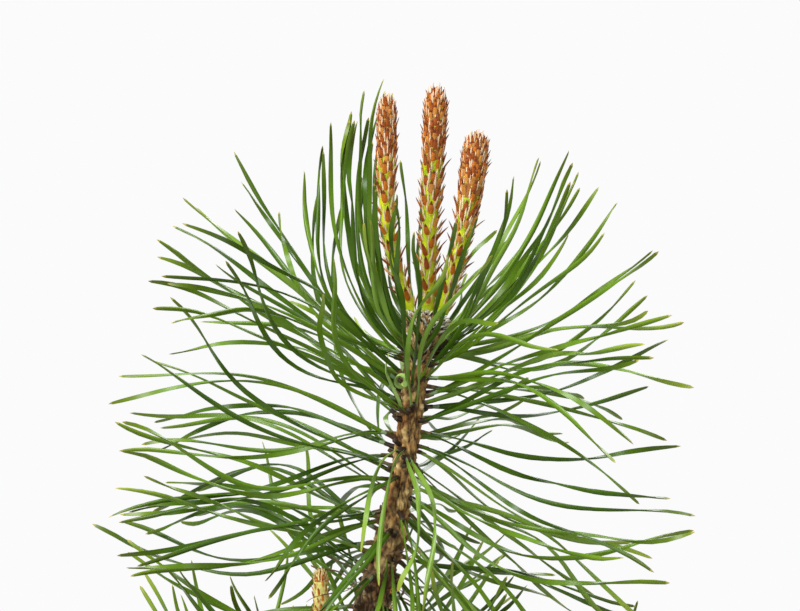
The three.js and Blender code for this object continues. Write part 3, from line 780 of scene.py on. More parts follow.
def pine_bark(name, young, old, change):
    """Young pine bark: dry corky plates, tan with golden-brown patches, over dark brown cracks.

    The mesh's own relief says how high each place stands. change is the height in millimetres where
    the young bark above gives way to the older, darker bark below."""
    material, tree, shader, places = blank_material(name, {"Roughness": 0.88, "IOR": 1.4})
    relief = add(tree, "ShaderNodeAttribute", attribute_name="relief").outputs["Fac"]
    flakes = add(
        tree, "ShaderNodeTexNoise", {"Scale": scale_for(1.5), "Detail": 6, "Roughness": 0.75},
        {"Vector": places},
    )
    uneven = add(
        tree, "ShaderNodeMath", {1: 1.3, 2: -0.62}, {0: flakes.outputs["Fac"]}, operation="MULTIPLY_ADD"
    )
    shown = add(tree, "ShaderNodeMath", links={0: relief, 1: uneven.outputs[0]}, operation="ADD")
    stops = (0.05, 0.95, 0.3, 0.55, 0.75)
    tones = [
        add(
            tree, "ShaderNodeValToRGB", links={"Fac": shown.outputs[0]}, stops=list(zip(stops, colours))
        ).outputs["Color"]
        for colours in (old, young)
    ]
    height = add(tree, "ShaderNodeSeparateXYZ", links={"Vector": places}).outputs["Z"]
    waver = add(tree, "ShaderNodeTexNoise", {"Scale": scale_for(12)}, {"Vector": places})
    blur = add(
        tree, "ShaderNodeMath", {1: 30 * MM, 2: -15 * MM}, {0: waver.outputs["Fac"]},
        operation="MULTIPLY_ADD",
    )
    level = add(tree, "ShaderNodeMath", links={0: height, 1: blur.outputs[0]}, operation="ADD")
    newer = add(
        tree, "ShaderNodeMapRange",
        {"From Min": (change - 8) * MM, "From Max": (change + 8) * MM}, {"Value": level.outputs[0]},
    )
    tint = add(
        tree, "ShaderNodeMix", links={0: newer.outputs["Result"], 6: tones[0], 7: tones[1]},
        data_type="RGBA",
    )
    patches = add(tree, "ShaderNodeTexNoise", {"Scale": scale_for(5), "Detail": 3}, {"Vector": places})
    bare = add(
        tree, "ShaderNodeMapRange", {"From Min": 0.44, "From Max": 0.6, "To Max": 0.75},
        {"Value": patches.outputs["Fac"]},
    )
    golden = add(
        tree, "ShaderNodeMix", {7: linear(0xD8A468)}, {0: bare.outputs["Result"], 6: tint.outputs[2]},
        data_type="RGBA", blend_type="MULTIPLY",
    )
    bump = add(
        tree, "ShaderNodeBump", {"Strength": 0.8, "Distance": 0.35 * MM}, {"Height": flakes.outputs["Fac"]}
    )
    tree.links.new(golden.outputs[2], shader.inputs["Base Color"])
    tree.links.new(bump.outputs["Normal"], shader.inputs["Normal"])
    return material


def earthenware():
    """Unglazed terracotta, turned and fired: matt, chalky, mottled, with faint rings from the wheel
    and a pale bloom of salts that water has carried out through the wall."""
    material, tree, shader, places = blank_material("earthenware", {"Roughness": 0.86, "IOR": 1.5})
    cloud = add(tree, "ShaderNodeTexNoise", {"Scale": scale_for(22), "Detail": 5}, {"Vector": places})
    speck = add(tree, "ShaderNodeTexNoise", {"Scale": scale_for(1.1), "Detail": 4}, {"Vector": places})
    clay = add(
        tree, "ShaderNodeValToRGB", links={"Fac": cloud.outputs["Fac"]},
        stops=[(0.3, 0x8A452B), (0.72, 0xAB6242)],
    )
    grit = add(
        tree, "ShaderNodeMix", {0: 0.35}, {6: clay.outputs["Color"], 7: speck.outputs["Fac"]},
        data_type="RGBA", blend_type="OVERLAY",
    )
    bloom = add(
        tree, "ShaderNodeTexNoise", {"Scale": scale_for(34), "Detail": 7, "Roughness": 0.62},
        {"Vector": places},
    )
    salts = add(
        tree, "ShaderNodeMapRange", {"From Min": 0.54, "From Max": 0.8, "To Max": 0.4},
        {"Value": bloom.outputs["Fac"]},
    )
    tint = add(
        tree, "ShaderNodeMix", {7: linear(0xC9AC98)}, {0: salts.outputs["Result"], 6: grit.outputs[2]},
        data_type="RGBA",
    )
    rings = add(
        tree, "ShaderNodeTexWave", {"Scale": scale_for(2.6) / 20, "Distortion": 1.5, "Detail": 2},
        {"Vector": places}, wave_type="BANDS", bands_direction="Z",
    )
    turned = add(
        tree, "ShaderNodeBump", {"Strength": 0.25, "Distance": 0.2 * MM}, {"Height": rings.outputs["Fac"]}
    )
    grain = add(
        tree, "ShaderNodeBump", {"Strength": 0.4, "Distance": 0.15 * MM},
        {"Height": speck.outputs["Fac"], "Normal": turned.outputs["Normal"]},
    )
    tree.links.new(tint.outputs[2], shader.inputs["Base Color"])
    tree.links.new(grain.outputs["Normal"], shader.inputs["Normal"])
    return material


def peat():
    """Moist peat-based potting soil: near black, crumbly, with paler fibres."""
    material, tree, shader, places = blank_material("peat", {"Roughness": 0.95})
    crumbs = add(
        tree, "ShaderNodeTexNoise", {"Scale": scale_for(2.2), "Detail": 8, "Roughness": 0.7},
        {"Vector": places},
    )
    tint = add(
        tree, "ShaderNodeValToRGB", links={"Fac": crumbs.outputs["Fac"]},
        stops=[(0.35, 0x1C130D), (0.75, 0x5A4433), (0.55, 0x35261B)],
    )
    bump = add(
        tree, "ShaderNodeBump", {"Strength": 0.9, "Distance": 0.8 * MM}, {"Height": crumbs.outputs["Fac"]}
    )
    tree.links.new(tint.outputs["Color"], shader.inputs["Base Color"])
    tree.links.new(bump.outputs["Normal"], shader.inputs["Normal"])
    return material


def pale_floor(radius):
    """Matt off-white floor that thins out to nothing at its rim."""
    chalk = {"Base Color": linear(0xCFCFCF), "Roughness": 0.9, "Specular IOR Level": 0.0}
    material, tree, shader, places = blank_material("pale_floor", chalk)
    away = add(tree, "ShaderNodeVectorMath", links={0: places}, operation="LENGTH")
    solid = add(
        tree, "ShaderNodeMapRange",
        {"From Min": 0.35 * radius, "From Max": radius, "To Min": 1.0, "To Max": 0.0},
        {"Value": away.outputs["Value"]}, interpolation_type="SMOOTHERSTEP",
    )
    clear = add(tree, "ShaderNodeBsdfTransparent")
    faded = add(
        tree, "ShaderNodeMixShader",
        links={0: solid.outputs["Result"], 1: clear.outputs[0], 2: shader.outputs[0]},
    )
    tree.links.new(faded.outputs[0], tree.nodes["Material Output"].inputs["Surface"])
    return material


# Bark: a closed tube bent along a limb, with the relief of plates and of the cushions under needles

CRACK_WIDTH = 0.3
PLATE_WARP = 0.9
PLATE_LOWEST = 0.75
PLATE_LEVEL = 0.7
CUSHION_TOP = 0.12

# How much bare bark and each kind of relief lift the bark's colour
SHOWN = {"bare": 0.12, "plate": 0.4, "cushion": 0.32, "fine": 0.16}


def bent_tube(line, sides, ring_gap, end=1):
    """An upright closed tube, and where each of its corners goes when it is bent along the line."""
    shares, run = measured(line)
    tube = bmesh.new()
    bmesh.ops.create_cone(tube, cap_ends=True, segments=sides, radius1=1, radius2=1, depth=1)
    bmesh.ops.translate(tube, verts=tube.verts, vec=(0, 0, 0.5))
    upright = [edge for edge in tube.edges if abs(edge.verts[0].co.z - edge.verts[1].co.z) > 0.5]
    bmesh.ops.subdivide_edges(tube, edges=upright, cuts=round(run[-1] / ring_gap) - 1)
    x, y, part = np.array([corner.co for corner in tube.verts]).T
    turn = np.arctan2(y, x)
    distance = part * end * run[-1]
    share = np.interp(distance, run, shares)
    along = heading_at(line, share)
    first = unit(EAST - along * (along @ EAST)[:, None])
    out = first * np.cos(turn)[:, None] + np.cross(along, first) * np.sin(turn)[:, None]
    bent = {"part": part, "turn": turn, "distance": distance, "share": share, "out": out}
    return tube, {**bent, "middle": curve_at(line, share)}


def plates_at(places, width, length):
    """Corky plates: how high each place stands, from 0 in a crack to 1, and a fine unevenness."""
    high = np.empty(len(places))
    fine = np.empty(len(places))
    for i, (x, y, z) in enumerate(places):
        warp = PLATE_WARP * noise.noise((x * 0.4, y * 0.4, z * 0.25))
        at = Vector((x / width + warp, y / width - warp, z / length + 0.6 * warp))
        near = noise.voronoi(at)[0]
        crack = min(1.0, (near[1] - near[0]) / CRACK_WIDTH)
        high[i] = crack * mix(PLATE_LOWEST, 1, noise.cell(at))
        fine[i] = noise.noise((x * 1.9, y * 1.9, z * 1.1)) + 0.5 * noise.noise((x * 4.1, y * 4.1, z * 2.3))
    return high, fine


def cushions_at(height, turn, girth, spots, length, width):
    """Spindle-shaped cushions below the needles, each highest at its top, as the most at each place."""
    most = np.zeros(len(height))
    for spot_height, spot_turn in spots:
        down = (spot_height - height) / length
        near = (down > -CUSHION_TOP) & (down < 1)
        down = down[near]
        aside = (turn[near] - spot_turn + math.pi) % (2 * math.pi) - math.pi
        half = width * np.sqrt(np.clip(1 - np.abs(down * 1.6 - 0.55), 0.02, 1))
        swell = np.clip(1 - (aside * girth[near] / half) ** 2, 0, 1)
        top = np.clip(1 - np.maximum(-down, 0) / CUSHION_TOP, 0, 1)
        most[near] = np.maximum(most[near], swell * top * (1 - 0.75 * np.clip(down, 0, 1)))
    return most


def bark_limb(name, line, radius_of, sides, ring_gap, spots, relief, material):
    """A limb's bark as one mesh. radius_of takes the bent tube, and spots are (distance, turn) of the
    cushions. relief gives the depth of plates, cushions and grain, and the width and length of a
    plate and of a cushion."""
    tube, bent = bent_tube(line, sides, ring_gap)
    middle, out = bent["middle"], bent["out"]
    girth = radius_of(bent)
    plates, fine = plates_at(middle + out * girth[:, None], relief["width"], relief["length"])
    size = (relief["cushion_length"], relief["cushion_width"])
    cushion = cushions_at(bent["distance"], bent["turn"], girth, spots, *size)
    raised = relief["plate"] * (plates - PLATE_LEVEL) + relief["cushion"] * cushion + relief["fine"] * fine
    places = middle + out * (girth + raised)[:, None]
    shown = SHOWN["plate"] * plates + SHOWN["cushion"] * cushion + SHOWN["bare"] + SHOWN["fine"] * fine
    mark = tube.verts.layers.float.new("relief")
    for corner, place, value in zip(tube.verts, places * MM, np.clip(shown, 0, 1)):
        corner.co = place
        corner[mark] = value
    return piece_from(tube, name, material)


TRUNK_SUNK = 1.0
TRUNK_SIDES = 96
TRUNK_RING_GAP = 0.42
TRUNK_RELIEF = {
    "plate": 0.4, "cushion": 0.6, "fine": 0.14, "width": 1.2, "length": 2.5,
    "cushion_length": 3.8, "cushion_width": 1.2,
}

# The cushions' distances along the trunk, which leans and so is a little longer than it is tall
TRUNK_SLOPE = 1.03
CUSHION_LIFT = 0.6
OLD_CUSHION_GAP = 0.9
OLD_CUSHION_SHARE = 0.6
OLD_CUSHION_FIRST = 4
OLD_CUSHION_TOP = 240
OLD_CUSHION_TURNS = (-30, 30)
OLD_CUSHION_SHIFTS = (-0.8, 0.8)
BOUGH_SIDES = 30
BOUGH_RING_GAP = 0.7
BOUGH_RELIEF = {
    "plate": 0.28, "cushion": 0.42, "fine": 0.07, "width": 1.3, "length": 3.4,
    "cushion_length": 4.2, "cushion_width": 1.0,
}
BOUGH_COLLAR = 1.2
BOUGH_COLLAR_REACH = 5
BOUGH_CUSHION_GAP = 1.3
BOUGH_CUSHION_FIRST = 2


def make_trunk(grown, bark):
    foot = TRUNK_FOOT - TRUNK_SUNK
    line = np.vstack([[0, 0, foot], TRUNK_LINE[1:]])
    spots = []
    for pair in grown:
        if "_" in pair["mass"] and pair["mass"].split("_")[0] in TIERS:
            rooted = pair["rooted"]
            distance = (pair["root"][2] - foot) * TRUNK_SLOPE + CUSHION_LIFT
            spots.append((distance, math.atan2(rooted[1], rooted[0])))
    deal = np.random.default_rng(SEED + 4)
    for i in range(int((OLD_CUSHION_TOP - foot) / OLD_CUSHION_GAP)):
        if deal.random() < OLD_CUSHION_SHARE:
            turn = GOLDEN_ANGLE * i + deal.uniform(*OLD_CUSHION_TURNS)
            distance = OLD_CUSHION_FIRST + i * OLD_CUSHION_GAP + deal.uniform(*OLD_CUSHION_SHIFTS)
            spots.append((distance, math.radians(turn)))
    radius_of = lambda bent: trunk_radius(bent["middle"][:, 2])
    return bark_limb("trunk_bark", line, radius_of, TRUNK_SIDES, TRUNK_RING_GAP, spots, TRUNK_RELIEF, bark)


def make_bough(name, bough, grown, bark):
    line = bough["line"]
    length = np.linalg.norm(np.diff(line, axis=0), axis=1).sum()
    spots = []
    for pair in grown:
        if pair["mass"] == name:
            first = around(pair["along"], 0)
            turn = math.atan2(pair["out"] @ np.cross(pair["along"], first), pair["out"] @ first)
            spots.append((np.linalg.norm(pair["root"] - line[0]), turn))
    for i in range(int(length / BOUGH_CUSHION_GAP)):
        distance = BOUGH_CUSHION_FIRST + i * BOUGH_CUSHION_GAP
        spots.append((distance, math.radians(GOLDEN_ANGLE * i)))
    thick = trunk_radius(bough["height"])

    def radius_of(bent):
        out = np.maximum(bent["share"] * length - thick, 0)
        return mix(*bough["girth"], bent["share"]) + BOUGH_COLLAR * np.exp(-out / BOUGH_COLLAR_REACH)

    name = f"bark_{name}"
    return bark_limb(name, line, radius_of, BOUGH_SIDES, BOUGH_RING_GAP, spots, BOUGH_RELIEF, bark)


# Needles and the sheaths that hold them

def kind_for(pair, deal):
    """Dead or one of the greens, dealt out by pair."""
    mass = pair["mass"]
    dead = DEAD_SHARE.get(mass, DEAD_SHARE.get(mass.split("_")[0], 0))
    draw = deal.random()
    if draw < dead:
        return "dead"
    share = (draw - dead) / (1 - dead)
    for kind, part in DEALT_GREENS.items():
        if share < part:
            return kind
        share -= part
    return kind


def add_needle(heap, path, across, twist, width, reach, pale_foot):
    """One needle: its flat side is turned to its partner at the root and twists on from there."""
    shares = np.append(np.linspace(0, 0.95, NEEDLE_STRETCHES - 1), [0.985, 1])
    line = curve_at(path, shares * reach)
    along = unit(np.gradient(line, axis=0))
    carried = []
    for step in along:
        across = unit(across - step * (across @ step))
        carried.append(across)
    carried = np.array(carried)
    turn = (math.radians(twist) * shares**1.2)[:, None]
    turned = carried * np.cos(turn) + np.cross(along, carried) * np.sin(turn)
    girths = np.interp(shares, NEEDLE_PARTS, NEEDLE_GIRTHS)
    half = girths * width / 2
    thick = girths * width * NEEDLE_THICKNESS / NEEDLE_WIDTH
    slots = [2 if pale_foot else 0] + [0] * (len(shares) - 3) + [1]
    heap.sweep(line, turned, NEEDLE_OUTLINE, half, thick, slots)


def add_dead_strands(heap, deal):
    """Thin dead twigs and needles that hang about the old whorl, bent and red-brown."""
    for i in range(DEAD_STRANDS):
        middle, along, out = trunk_stance(deal.uniform(*STRAND_HEIGHTS), GOLDEN_ANGLE * i)
        spot = {"along": along, "out": out, "side": np.cross(along, out)}
        bend = {"rise": deal.uniform(*STRAND_RISE), "close": 0, "lift": 0, "dip": deal.uniform(*STRAND_DIP)}
        bend["sway"], bend["wave"] = deal.uniform(-1, 1, 2)
        root = middle + out * trunk_radius(middle[2])
        aim = unit(out + along * deal.uniform(*STRAND_AIM))
        path = needle_path(root, spot, aim, bend, deal.uniform(*STRAND_LENGTH))
        width = STRAND_WIDTH * deal.uniform(*STRAND_WIDTHS)
        add_needle(heap, path, np.cross(aim, along), STRAND_TWIST, width, 1, False)


def add_curled_needles(heap):
    """Left of the stem under the knob one needle curls right round, and a thin one bends beside it."""
    steps = np.linspace(0, 1, CURL_STEPS)
    turns = np.radians(mix(*CURL_TURNS, steps))
    reach = mix(*CURL_REACH, steps)
    middle_x, middle_z = CURL_MIDDLE
    x = middle_x + reach * np.cos(turns)
    z = middle_z + reach * np.sin(turns)
    path = np.stack([x, mix(*CURL_DEPTH, steps), z], axis=1)
    add_needle(heap, path, path[0] - [middle_x, path[0][1], middle_z], 0, CURL_WIDTH, 1, False)
    add_needle(heap, np.array(BENT_NEEDLE), EAST, BENT_TWIST, NEEDLE_WIDTH * BENT_WIDTH, 1, False)


def add_old_stubs(heap, deal):
    """Dark stubs on the bark, where the sheaths of fallen needles have stayed."""
    for i in range(OLD_STUBS):
        height = mix(TIERS["foot"]["low"], TIERS["upper"]["high"], deal.random())
        middle, along, out = trunk_stance(height, GOLDEN_ANGLE * i)
        root = middle + out * (trunk_radius(height) + CLEAR)
        aim = leaning(along, out, deal.uniform(*STUB_LEANS))
        stub = {"root": root, "aim": aim, "rooted": out, "side": np.cross(along, out)}
        add_sheath(heap, stub, STUB_LENGTH, deal)


def add_sheath(heap, pair, lengths, deal):
    """The short frayed sleeve of scales that holds a pair of needles at its root."""
    root = pair["root"]
    launch = pair["aim"]
    length = deal.uniform(*lengths)
    radius = deal.uniform(*SHEATH_RADIUS)
    foot = root - pair["rooted"] * SHEATH_FOOT["inward"] - launch * SHEATH_FOOT["back"]
    line = [foot, *(root + launch * length * share for share in SHEATH_STATIONS)]
    turns = np.linspace(0, 2 * math.pi, SHEATH_SIDES + 1)[:-1]
    outline = [(math.cos(turn), math.sin(turn)) for turn in turns]
    widths = np.array(SHEATH_WIDTHS) * radius
    heights = np.array(SHEATH_HEIGHTS) * radius
    across = np.tile(pair["side"], (len(line), 1))
    tint = int(deal.integers(0, 3))
    heap.sweep(line, across, outline, widths, heights, [tint, tint, tint, 3, 3])


def make_needles(grown):
    deal = np.random.default_rng(SEED)
    heaps = {kind: Heap() for kind in (*DEALT_GREENS, "dead", "curled")}
    sheaths = Heap()
    steps = np.linspace(0, 1, NEEDLE_STEPS + 1)[:, None]
    gather = np.clip(1 - steps / GATHERED_TO, 0, 1) * GATHERED
    for pair in grown:
        kind = kind_for(pair, deal)
        dead = kind == "dead"
        lean = deal.uniform(*NEEDLE_TWIST) * deal.choice((-1, 1))
        width = NEEDLE_WIDTH * deal.uniform(*NEEDLE_WIDTHS) * (DEAD_WIDTH if dead else 1)
        reach = DEAD_LENGTH if dead else 1
        pale_foot = deal.random() < PALE_FOOT_SHARE
        middle = (pair["paths"][0] + pair["paths"][1]) / 2
        for sign, path in zip((-1, 1), pair["paths"]):
            turns = steps * deal.uniform(*NEEDLE_WAVES) + deal.random()
            sway = unit(deal.uniform(-1, 1, 3)) * deal.uniform(*NEEDLE_WAVE)
            path = mix(path, middle, gather) + sway * steps * np.sin(2 * math.pi * turns)
            across = np.cross(sign * pair["apart"], pair["aim"])
            turn = lean * deal.uniform(*TWIST_STRAY)
            add_needle(heaps[kind], path, across, turn, width, reach, pale_foot)
        add_sheath(sheaths, pair, SHEATH_LENGTH, deal)
    add_old_stubs(sheaths, deal)
    add_dead_strands(heaps["dead"], deal)
    add_curled_needles(heaps["curled"])
    return heaps, sheaths


# Candles: a soft shoot, brown scales in a spiral, and a white papery bud in the fold of each scale

SCALE_OUTLINE = [(1, 0), (0.45, 0.75), (-0.45, 0.75), (-1, 0), (0, -0.35)]
SCALE_STATIONS = [0, 0.2, 0.45, 0.7, 0.88, 1]
SCALE_WIDTHS = [0.7, 1, 0.95, 0.7, 0.35, 0]
SCALE_THICKNESSES = [0.8, 1, 0.9, 0.7, 0.4, 0]
CANDLES = {
    "left": {"foot": 1.35, "full": 1.95, "units": 155, "bare": 0.55, "crowded": 0.74, "green": 0.72},
    "centre": {"foot": 1.7, "full": 2.25, "units": 195, "bare": 0.46, "crowded": 0.74, "green": 0.66},
    "right": {"foot": 1.5, "full": 2.5, "units": 180, "bare": 0.48, "crowded": 0.74, "green": 0.64},
}
BOUGH_CANDLE = {"foot": 1.2, "full": 1.5, "units": 100, "bare": 0.16, "crowded": 0.36, "green": 0.9}
COVER_PLACES = [0, 0.19, 0.4, 0.83, 1]
CANDLE_STEM_END = 0.96
CANDLE_DOME = 0.93
CANDLE_SIDES = 20
CANDLE_RING_GAP = 0.7
CANDLE_RIDGE = 0.035
CANDLE_RIDGES = 8
CANDLE_RIDGE_TWIST = 14
BRACT_SIZES = ([0.55, 0.9], [1, 0.76])
BRACT_TURNS = (-12, 12)
BRACT_LEANS = ([0.4, 0.65, CANDLE_DOME, 1], [24, 11, 9, 0])
BRACT_LEAN_STRAY = (-4, 8)
BRACT_LENGTH = 3.0
BRACT_LENGTHS = (0.85, 1.12)
BRACT_WIDTH = 1.2
BRACT_WIDTHS = (0.85, 1.1)
BRACT_THICKNESS = 0.34
BRACT_CURL = (-0.03, 0.12)
BRACT_SUNK = 0.1
LONG_BRACTS = ([0.4, 0.7], [0.45, 0.12])
LONG_BRACT = 1.2
LONG_CURL = (0.2, 0.35)
DOME_BRACT = 0.75
YOUNG_BRACT = 0.7
TWIN_BUDS_TO = 0.6
SLIVER_LENGTH = 2.6
SLIVER_LENGTHS = (0.8, 1.15)
SLIVER_WIDTH = 0.42
SLIVER_WIDTHS = (0.8, 1.3)
SLIVER_THICKNESS = 0.3
SLIVER_CURL = 0.02
SLIVER_ALONG = 0.5
SLIVER_ASIDE = 0.55
SLIVER_LEAN = 0.8
SLIVER_SPREAD = 0.12
YOUNG_SLIVER = 1.7
HEEL_LENGTH = 1.1
HEEL_WIDTH = 0.85
HEEL_THICKNESS = 0.3
HEEL_LEAN = 0.12


def add_scale(heap, root, aim, out, length, width, thickness, curl, slots):
    """A small lance-shaped scale from its root, curling out towards its tip."""
    shares = np.array(SCALE_STATIONS)[:, None]
    line = root + aim * shares * length + out * curl * length * shares**2
    side = np.cross(aim, out)
    across = np.tile(-side, (len(shares), 1))
    half = np.array(SCALE_WIDTHS) * width / 2
    thick = np.array(SCALE_THICKNESSES) * thickness
    heap.sweep(line, across, SCALE_OUTLINE, half, thick, slots)


def stem_radius(part, candle):
    """The shoot's radius at a part of its length: slim below, full above and domed at its tip."""
    foot, full = candle["foot"], candle["full"]
    radius = np.interp(part, [0, 0.1, 0.4, 0.68, 1], [foot * 0.75, foot, foot, full, full])
    dome = np.clip((part - CANDLE_DOME) / (1 - CANDLE_DOME), 0, 1)
    return radius * np.sqrt(1 - 0.98 * dome**2)


def add_candle_cover(scales, slivers, rims, line, candle, largest, young, deal):
    """The spiral of scales, thin over the lower stem, crowded above and closed over its tip.

    A young candle's scales are narrower and its papery buds broader and yellower."""
    shares, run = measured(line)
    for i in range(candle["units"]):
        place = (i + 0.5) / candle["units"]
        part = np.interp(place, COVER_PLACES, [0.02, candle["bare"], candle["crowded"], CANDLE_DOME, 1])
        size = largest * np.interp(part, *BRACT_SIZES)
        share = np.interp(part * CANDLE_STEM_END * run[-1], run, shares)
        middle, along, out = stance(line, share, GOLDEN_ANGLE * i + deal.uniform(*BRACT_TURNS))
        side = np.cross(along, out)
        sunk = out * BRACT_SUNK
        foot_point = middle + out * (stem_radius(part, candle) - BRACT_SUNK)
        lean = np.interp(part, *BRACT_LEANS) + deal.uniform(*BRACT_LEAN_STRAY)
        aim = leaning(along, out, lean)
        spread = deal.random() < np.interp(part, *LONG_BRACTS)
        length = BRACT_LENGTH * size * deal.uniform(*BRACT_LENGTHS) * (LONG_BRACT if spread else 1)
        length *= 1 if part < CANDLE_DOME else DOME_BRACT
        curl = deal.uniform(*(LONG_CURL if spread else BRACT_CURL))
        width = BRACT_WIDTH * size * deal.uniform(*BRACT_WIDTHS) * (YOUNG_BRACT if young else 1)
        tint = 2 * int(deal.integers(0, 3))
        slots = [tint, tint, tint, tint + 1, tint + 1]
        add_scale(scales, foot_point, aim, out, length, width, BRACT_THICKNESS * size, curl, slots)
        first = deal.choice((-1, 1))
        for sign in (first, -first)[: 1 + (young or part < TWIN_BUDS_TO)]:
            aside = side * sign * width * SLIVER_ASIDE
            fold = foot_point + along * SLIVER_ALONG * size + aside - sunk
            sliver_aim = unit(leaning(along, out, lean * SLIVER_LEAN) + aside * SLIVER_SPREAD)
            broad = SLIVER_WIDTH * size * deal.uniform(*SLIVER_WIDTHS) * (YOUNG_SLIVER if young else 1)
            length = SLIVER_LENGTH * size * deal.uniform(*SLIVER_LENGTHS)
            thick = SLIVER_THICKNESS * size
            add_scale(slivers, fold, sliver_aim, out, length, broad, thick, SLIVER_CURL, [int(young)])
        heel = foot_point - along * SLIVER_ALONG * size - sunk
        heel_aim = unit(along + out * HEEL_LEAN)
        length = HEEL_LENGTH * size
        add_scale(rims, heel, heel_aim, out, length, width * HEEL_WIDTH, HEEL_THICKNESS * size, 0, [0])


def make_candle_stem(name, line, candle, materials):
    """A closed shoot: green below, and covered in brown felt where the scales crowd."""
    tube, bent = bent_tube(line, CANDLE_SIDES, CANDLE_RING_GAP, CANDLE_STEM_END)
    ridges = 1 + CANDLE_RIDGE * np.sin(CANDLE_RIDGES * bent["turn"] + CANDLE_RIDGE_TWIST * bent["part"])
    radius = stem_radius(bent["part"], candle) * ridges
    places = bent["middle"] + bent["out"] * radius[:, None]
    for corner, place in zip(tube.verts, places * MM):
        corner.co = place
    shares, run = measured(line)
    covered = point_at(line, np.interp(candle["green"] * run[-1], run, shares))[2] * MM
    for face in tube.faces:
        face.smooth = len(face.verts) == 4
        face.material_index = int(face.calc_center_median().z > covered)
    return piece_from(tube, name, *materials, smooth=False)


# The knob's dead bud scales

BUD_SCALES = 620
BUD_SCALE_HEIGHTS = (237, 250.8)
BUD_SCALE_LEANS = (10, 70)
BUD_SCALE_ASIDE = (-0.7, 0.7)
BUD_SCALE_LENGTHS = (0.8, 2.1)
BUD_SCALE_WIDTHS = (0.28, 0.6)
BUD_SCALE_THICKNESS = 0.14
BUD_SCALE_SUNK = 0.2
BUD_SCALE_CURL = (-0.25, 0.45)
BUD_TINTS_CHANGE = (241, 246)
KNOB_TOP = 249.9
KNOB_EDGE = 249.4
KNOB_INWARD = (0.25, 1)
# Shares of white, grey, tan and black scales below and above the change. The black scales and the darker
# mix below are partly the knob's dark dead scales and partly painted shade, in the gaps and under the white
# scales at the top.
BUD_TINTS_LOW = (0.1, 0.14, 0.46, 0.3)
BUD_TINTS_HIGH = (0.46, 0.14, 0.16, 0.24)


def make_bud_scales(materials):
    deal = np.random.default_rng(SEED + 1)
    heap = Heap()
    for i in range(BUD_SCALES):
        up = math.sqrt((i + 0.5) / BUD_SCALES)
        height = mix(*BUD_SCALE_HEIGHTS, up)
        middle, along, out = trunk_stance(min(height, KNOB_TOP), GOLDEN_ANGLE * i)
        inward = deal.uniform(*KNOB_INWARD) if height > KNOB_EDGE else 1
        root = middle + out * (trunk_radius(height) - BUD_SCALE_SUNK) * inward
        aim = leaning(along, out, deal.uniform(*BUD_SCALE_LEANS))
        aim = unit(aim + np.cross(along, out) * deal.uniform(*BUD_SCALE_ASIDE))
        length = deal.uniform(*BUD_SCALE_LENGTHS)
        width = deal.uniform(*BUD_SCALE_WIDTHS)
        odds = BUD_TINTS_LOW if height < deal.uniform(*BUD_TINTS_CHANGE) else BUD_TINTS_HIGH
        tint = int(deal.choice(len(materials), p=odds))
        curl = deal.uniform(*BUD_SCALE_CURL)
        add_scale(heap, root, aim, out, length, width, BUD_SCALE_THICKNESS, curl, [tint])
    return heap.mesh("bud_scales", materials)


# Pot and soil

POT_FOOT_SHARE = 44 / 62
RIM_BAND = 18
RIM_BAND_PROUD = 3
POT_WALL = 5
POT_FLOOR = 7
POT_TAPER = 1.2
POT_EDGE = 1.6
POT_STEPS = 120
POT_RINGS = 24
POT_WOBBLE = 0.35
POT_WOBBLE_SIZE = 45


def spun(profile):
    """A round body from a profile of radius and height that starts and ends on the axis."""
    body = bmesh.new()
    corners = [body.verts.new((radius * MM, 0, height * MM)) for radius, height in profile]
    edges = [body.edges.new(two) for two in zip(corners[:-1], corners[1:])]
    bmesh.ops.spin(
        body, geom=corners + edges, cent=(0, 0, 0), axis=(0, 0, 1), angle=2 * math.pi,
        steps=POT_STEPS, use_merge=True, use_duplicate=False,
    )
    bmesh.ops.remove_doubles(body, verts=body.verts, dist=0.01 * MM)
    bmesh.ops.recalc_face_normals(body, faces=body.faces)
    return body


def make_pot(material):
    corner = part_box("pot")[1]
    height = corner.z / MM
    rim = corner.x / MM
    foot = rim * POT_FOOT_SHARE
    wall_top = rim - RIM_BAND_PROUD
    inner_top = wall_top - POT_WALL + RIM_BAND_PROUD * 0.5
    inner_foot = foot - POT_WALL
    band_foot = height - RIM_BAND
    band = [(wall_top - POT_TAPER, band_foot), (rim, band_foot), (rim, height), (inner_top, height)]
    corners = [(foot, 0), *band]
    profile = [(0, 0), *corners, (inner_foot, POT_FLOOR), (0, POT_FLOOR)]
    body = spun(profile)
    rounded = []
    for radius, level in corners:
        for edge in body.edges:
            if all(abs(v.co.z / MM - level) < 0.01 for v in edge.verts):
                if all(abs(math.hypot(v.co.x, v.co.y) / MM - radius) < 0.01 for v in edge.verts):
                    rounded.append(edge)
    bmesh.ops.bevel(
        body, geom=rounded, offset=POT_EDGE * MM, offset_type="OFFSET", affect="EDGES", segments=4,
        profile=0.5, material=-1,
    )
    walls = [edge for edge in body.edges if abs(edge.verts[0].co.z - edge.verts[1].co.z) > 20 * MM]
    bmesh.ops.subdivide_edges(body, edges=walls, cuts=POT_RINGS)
    for corner in body.verts:
        wobble = noise.noise(corner.co * scale_for(POT_WOBBLE_SIZE)) * POT_WOBBLE * MM
        away = Vector((corner.co.x, corner.co.y, 0))
        if away.length > 1 * MM and corner.co.z > 0.5 * MM:
            corner.co += away.normalized() * wobble
    piece = piece_from(body, "terracotta_pot", material)
    piece.data.set_sharp_from_angle(angle=math.radians(40))
    return piece


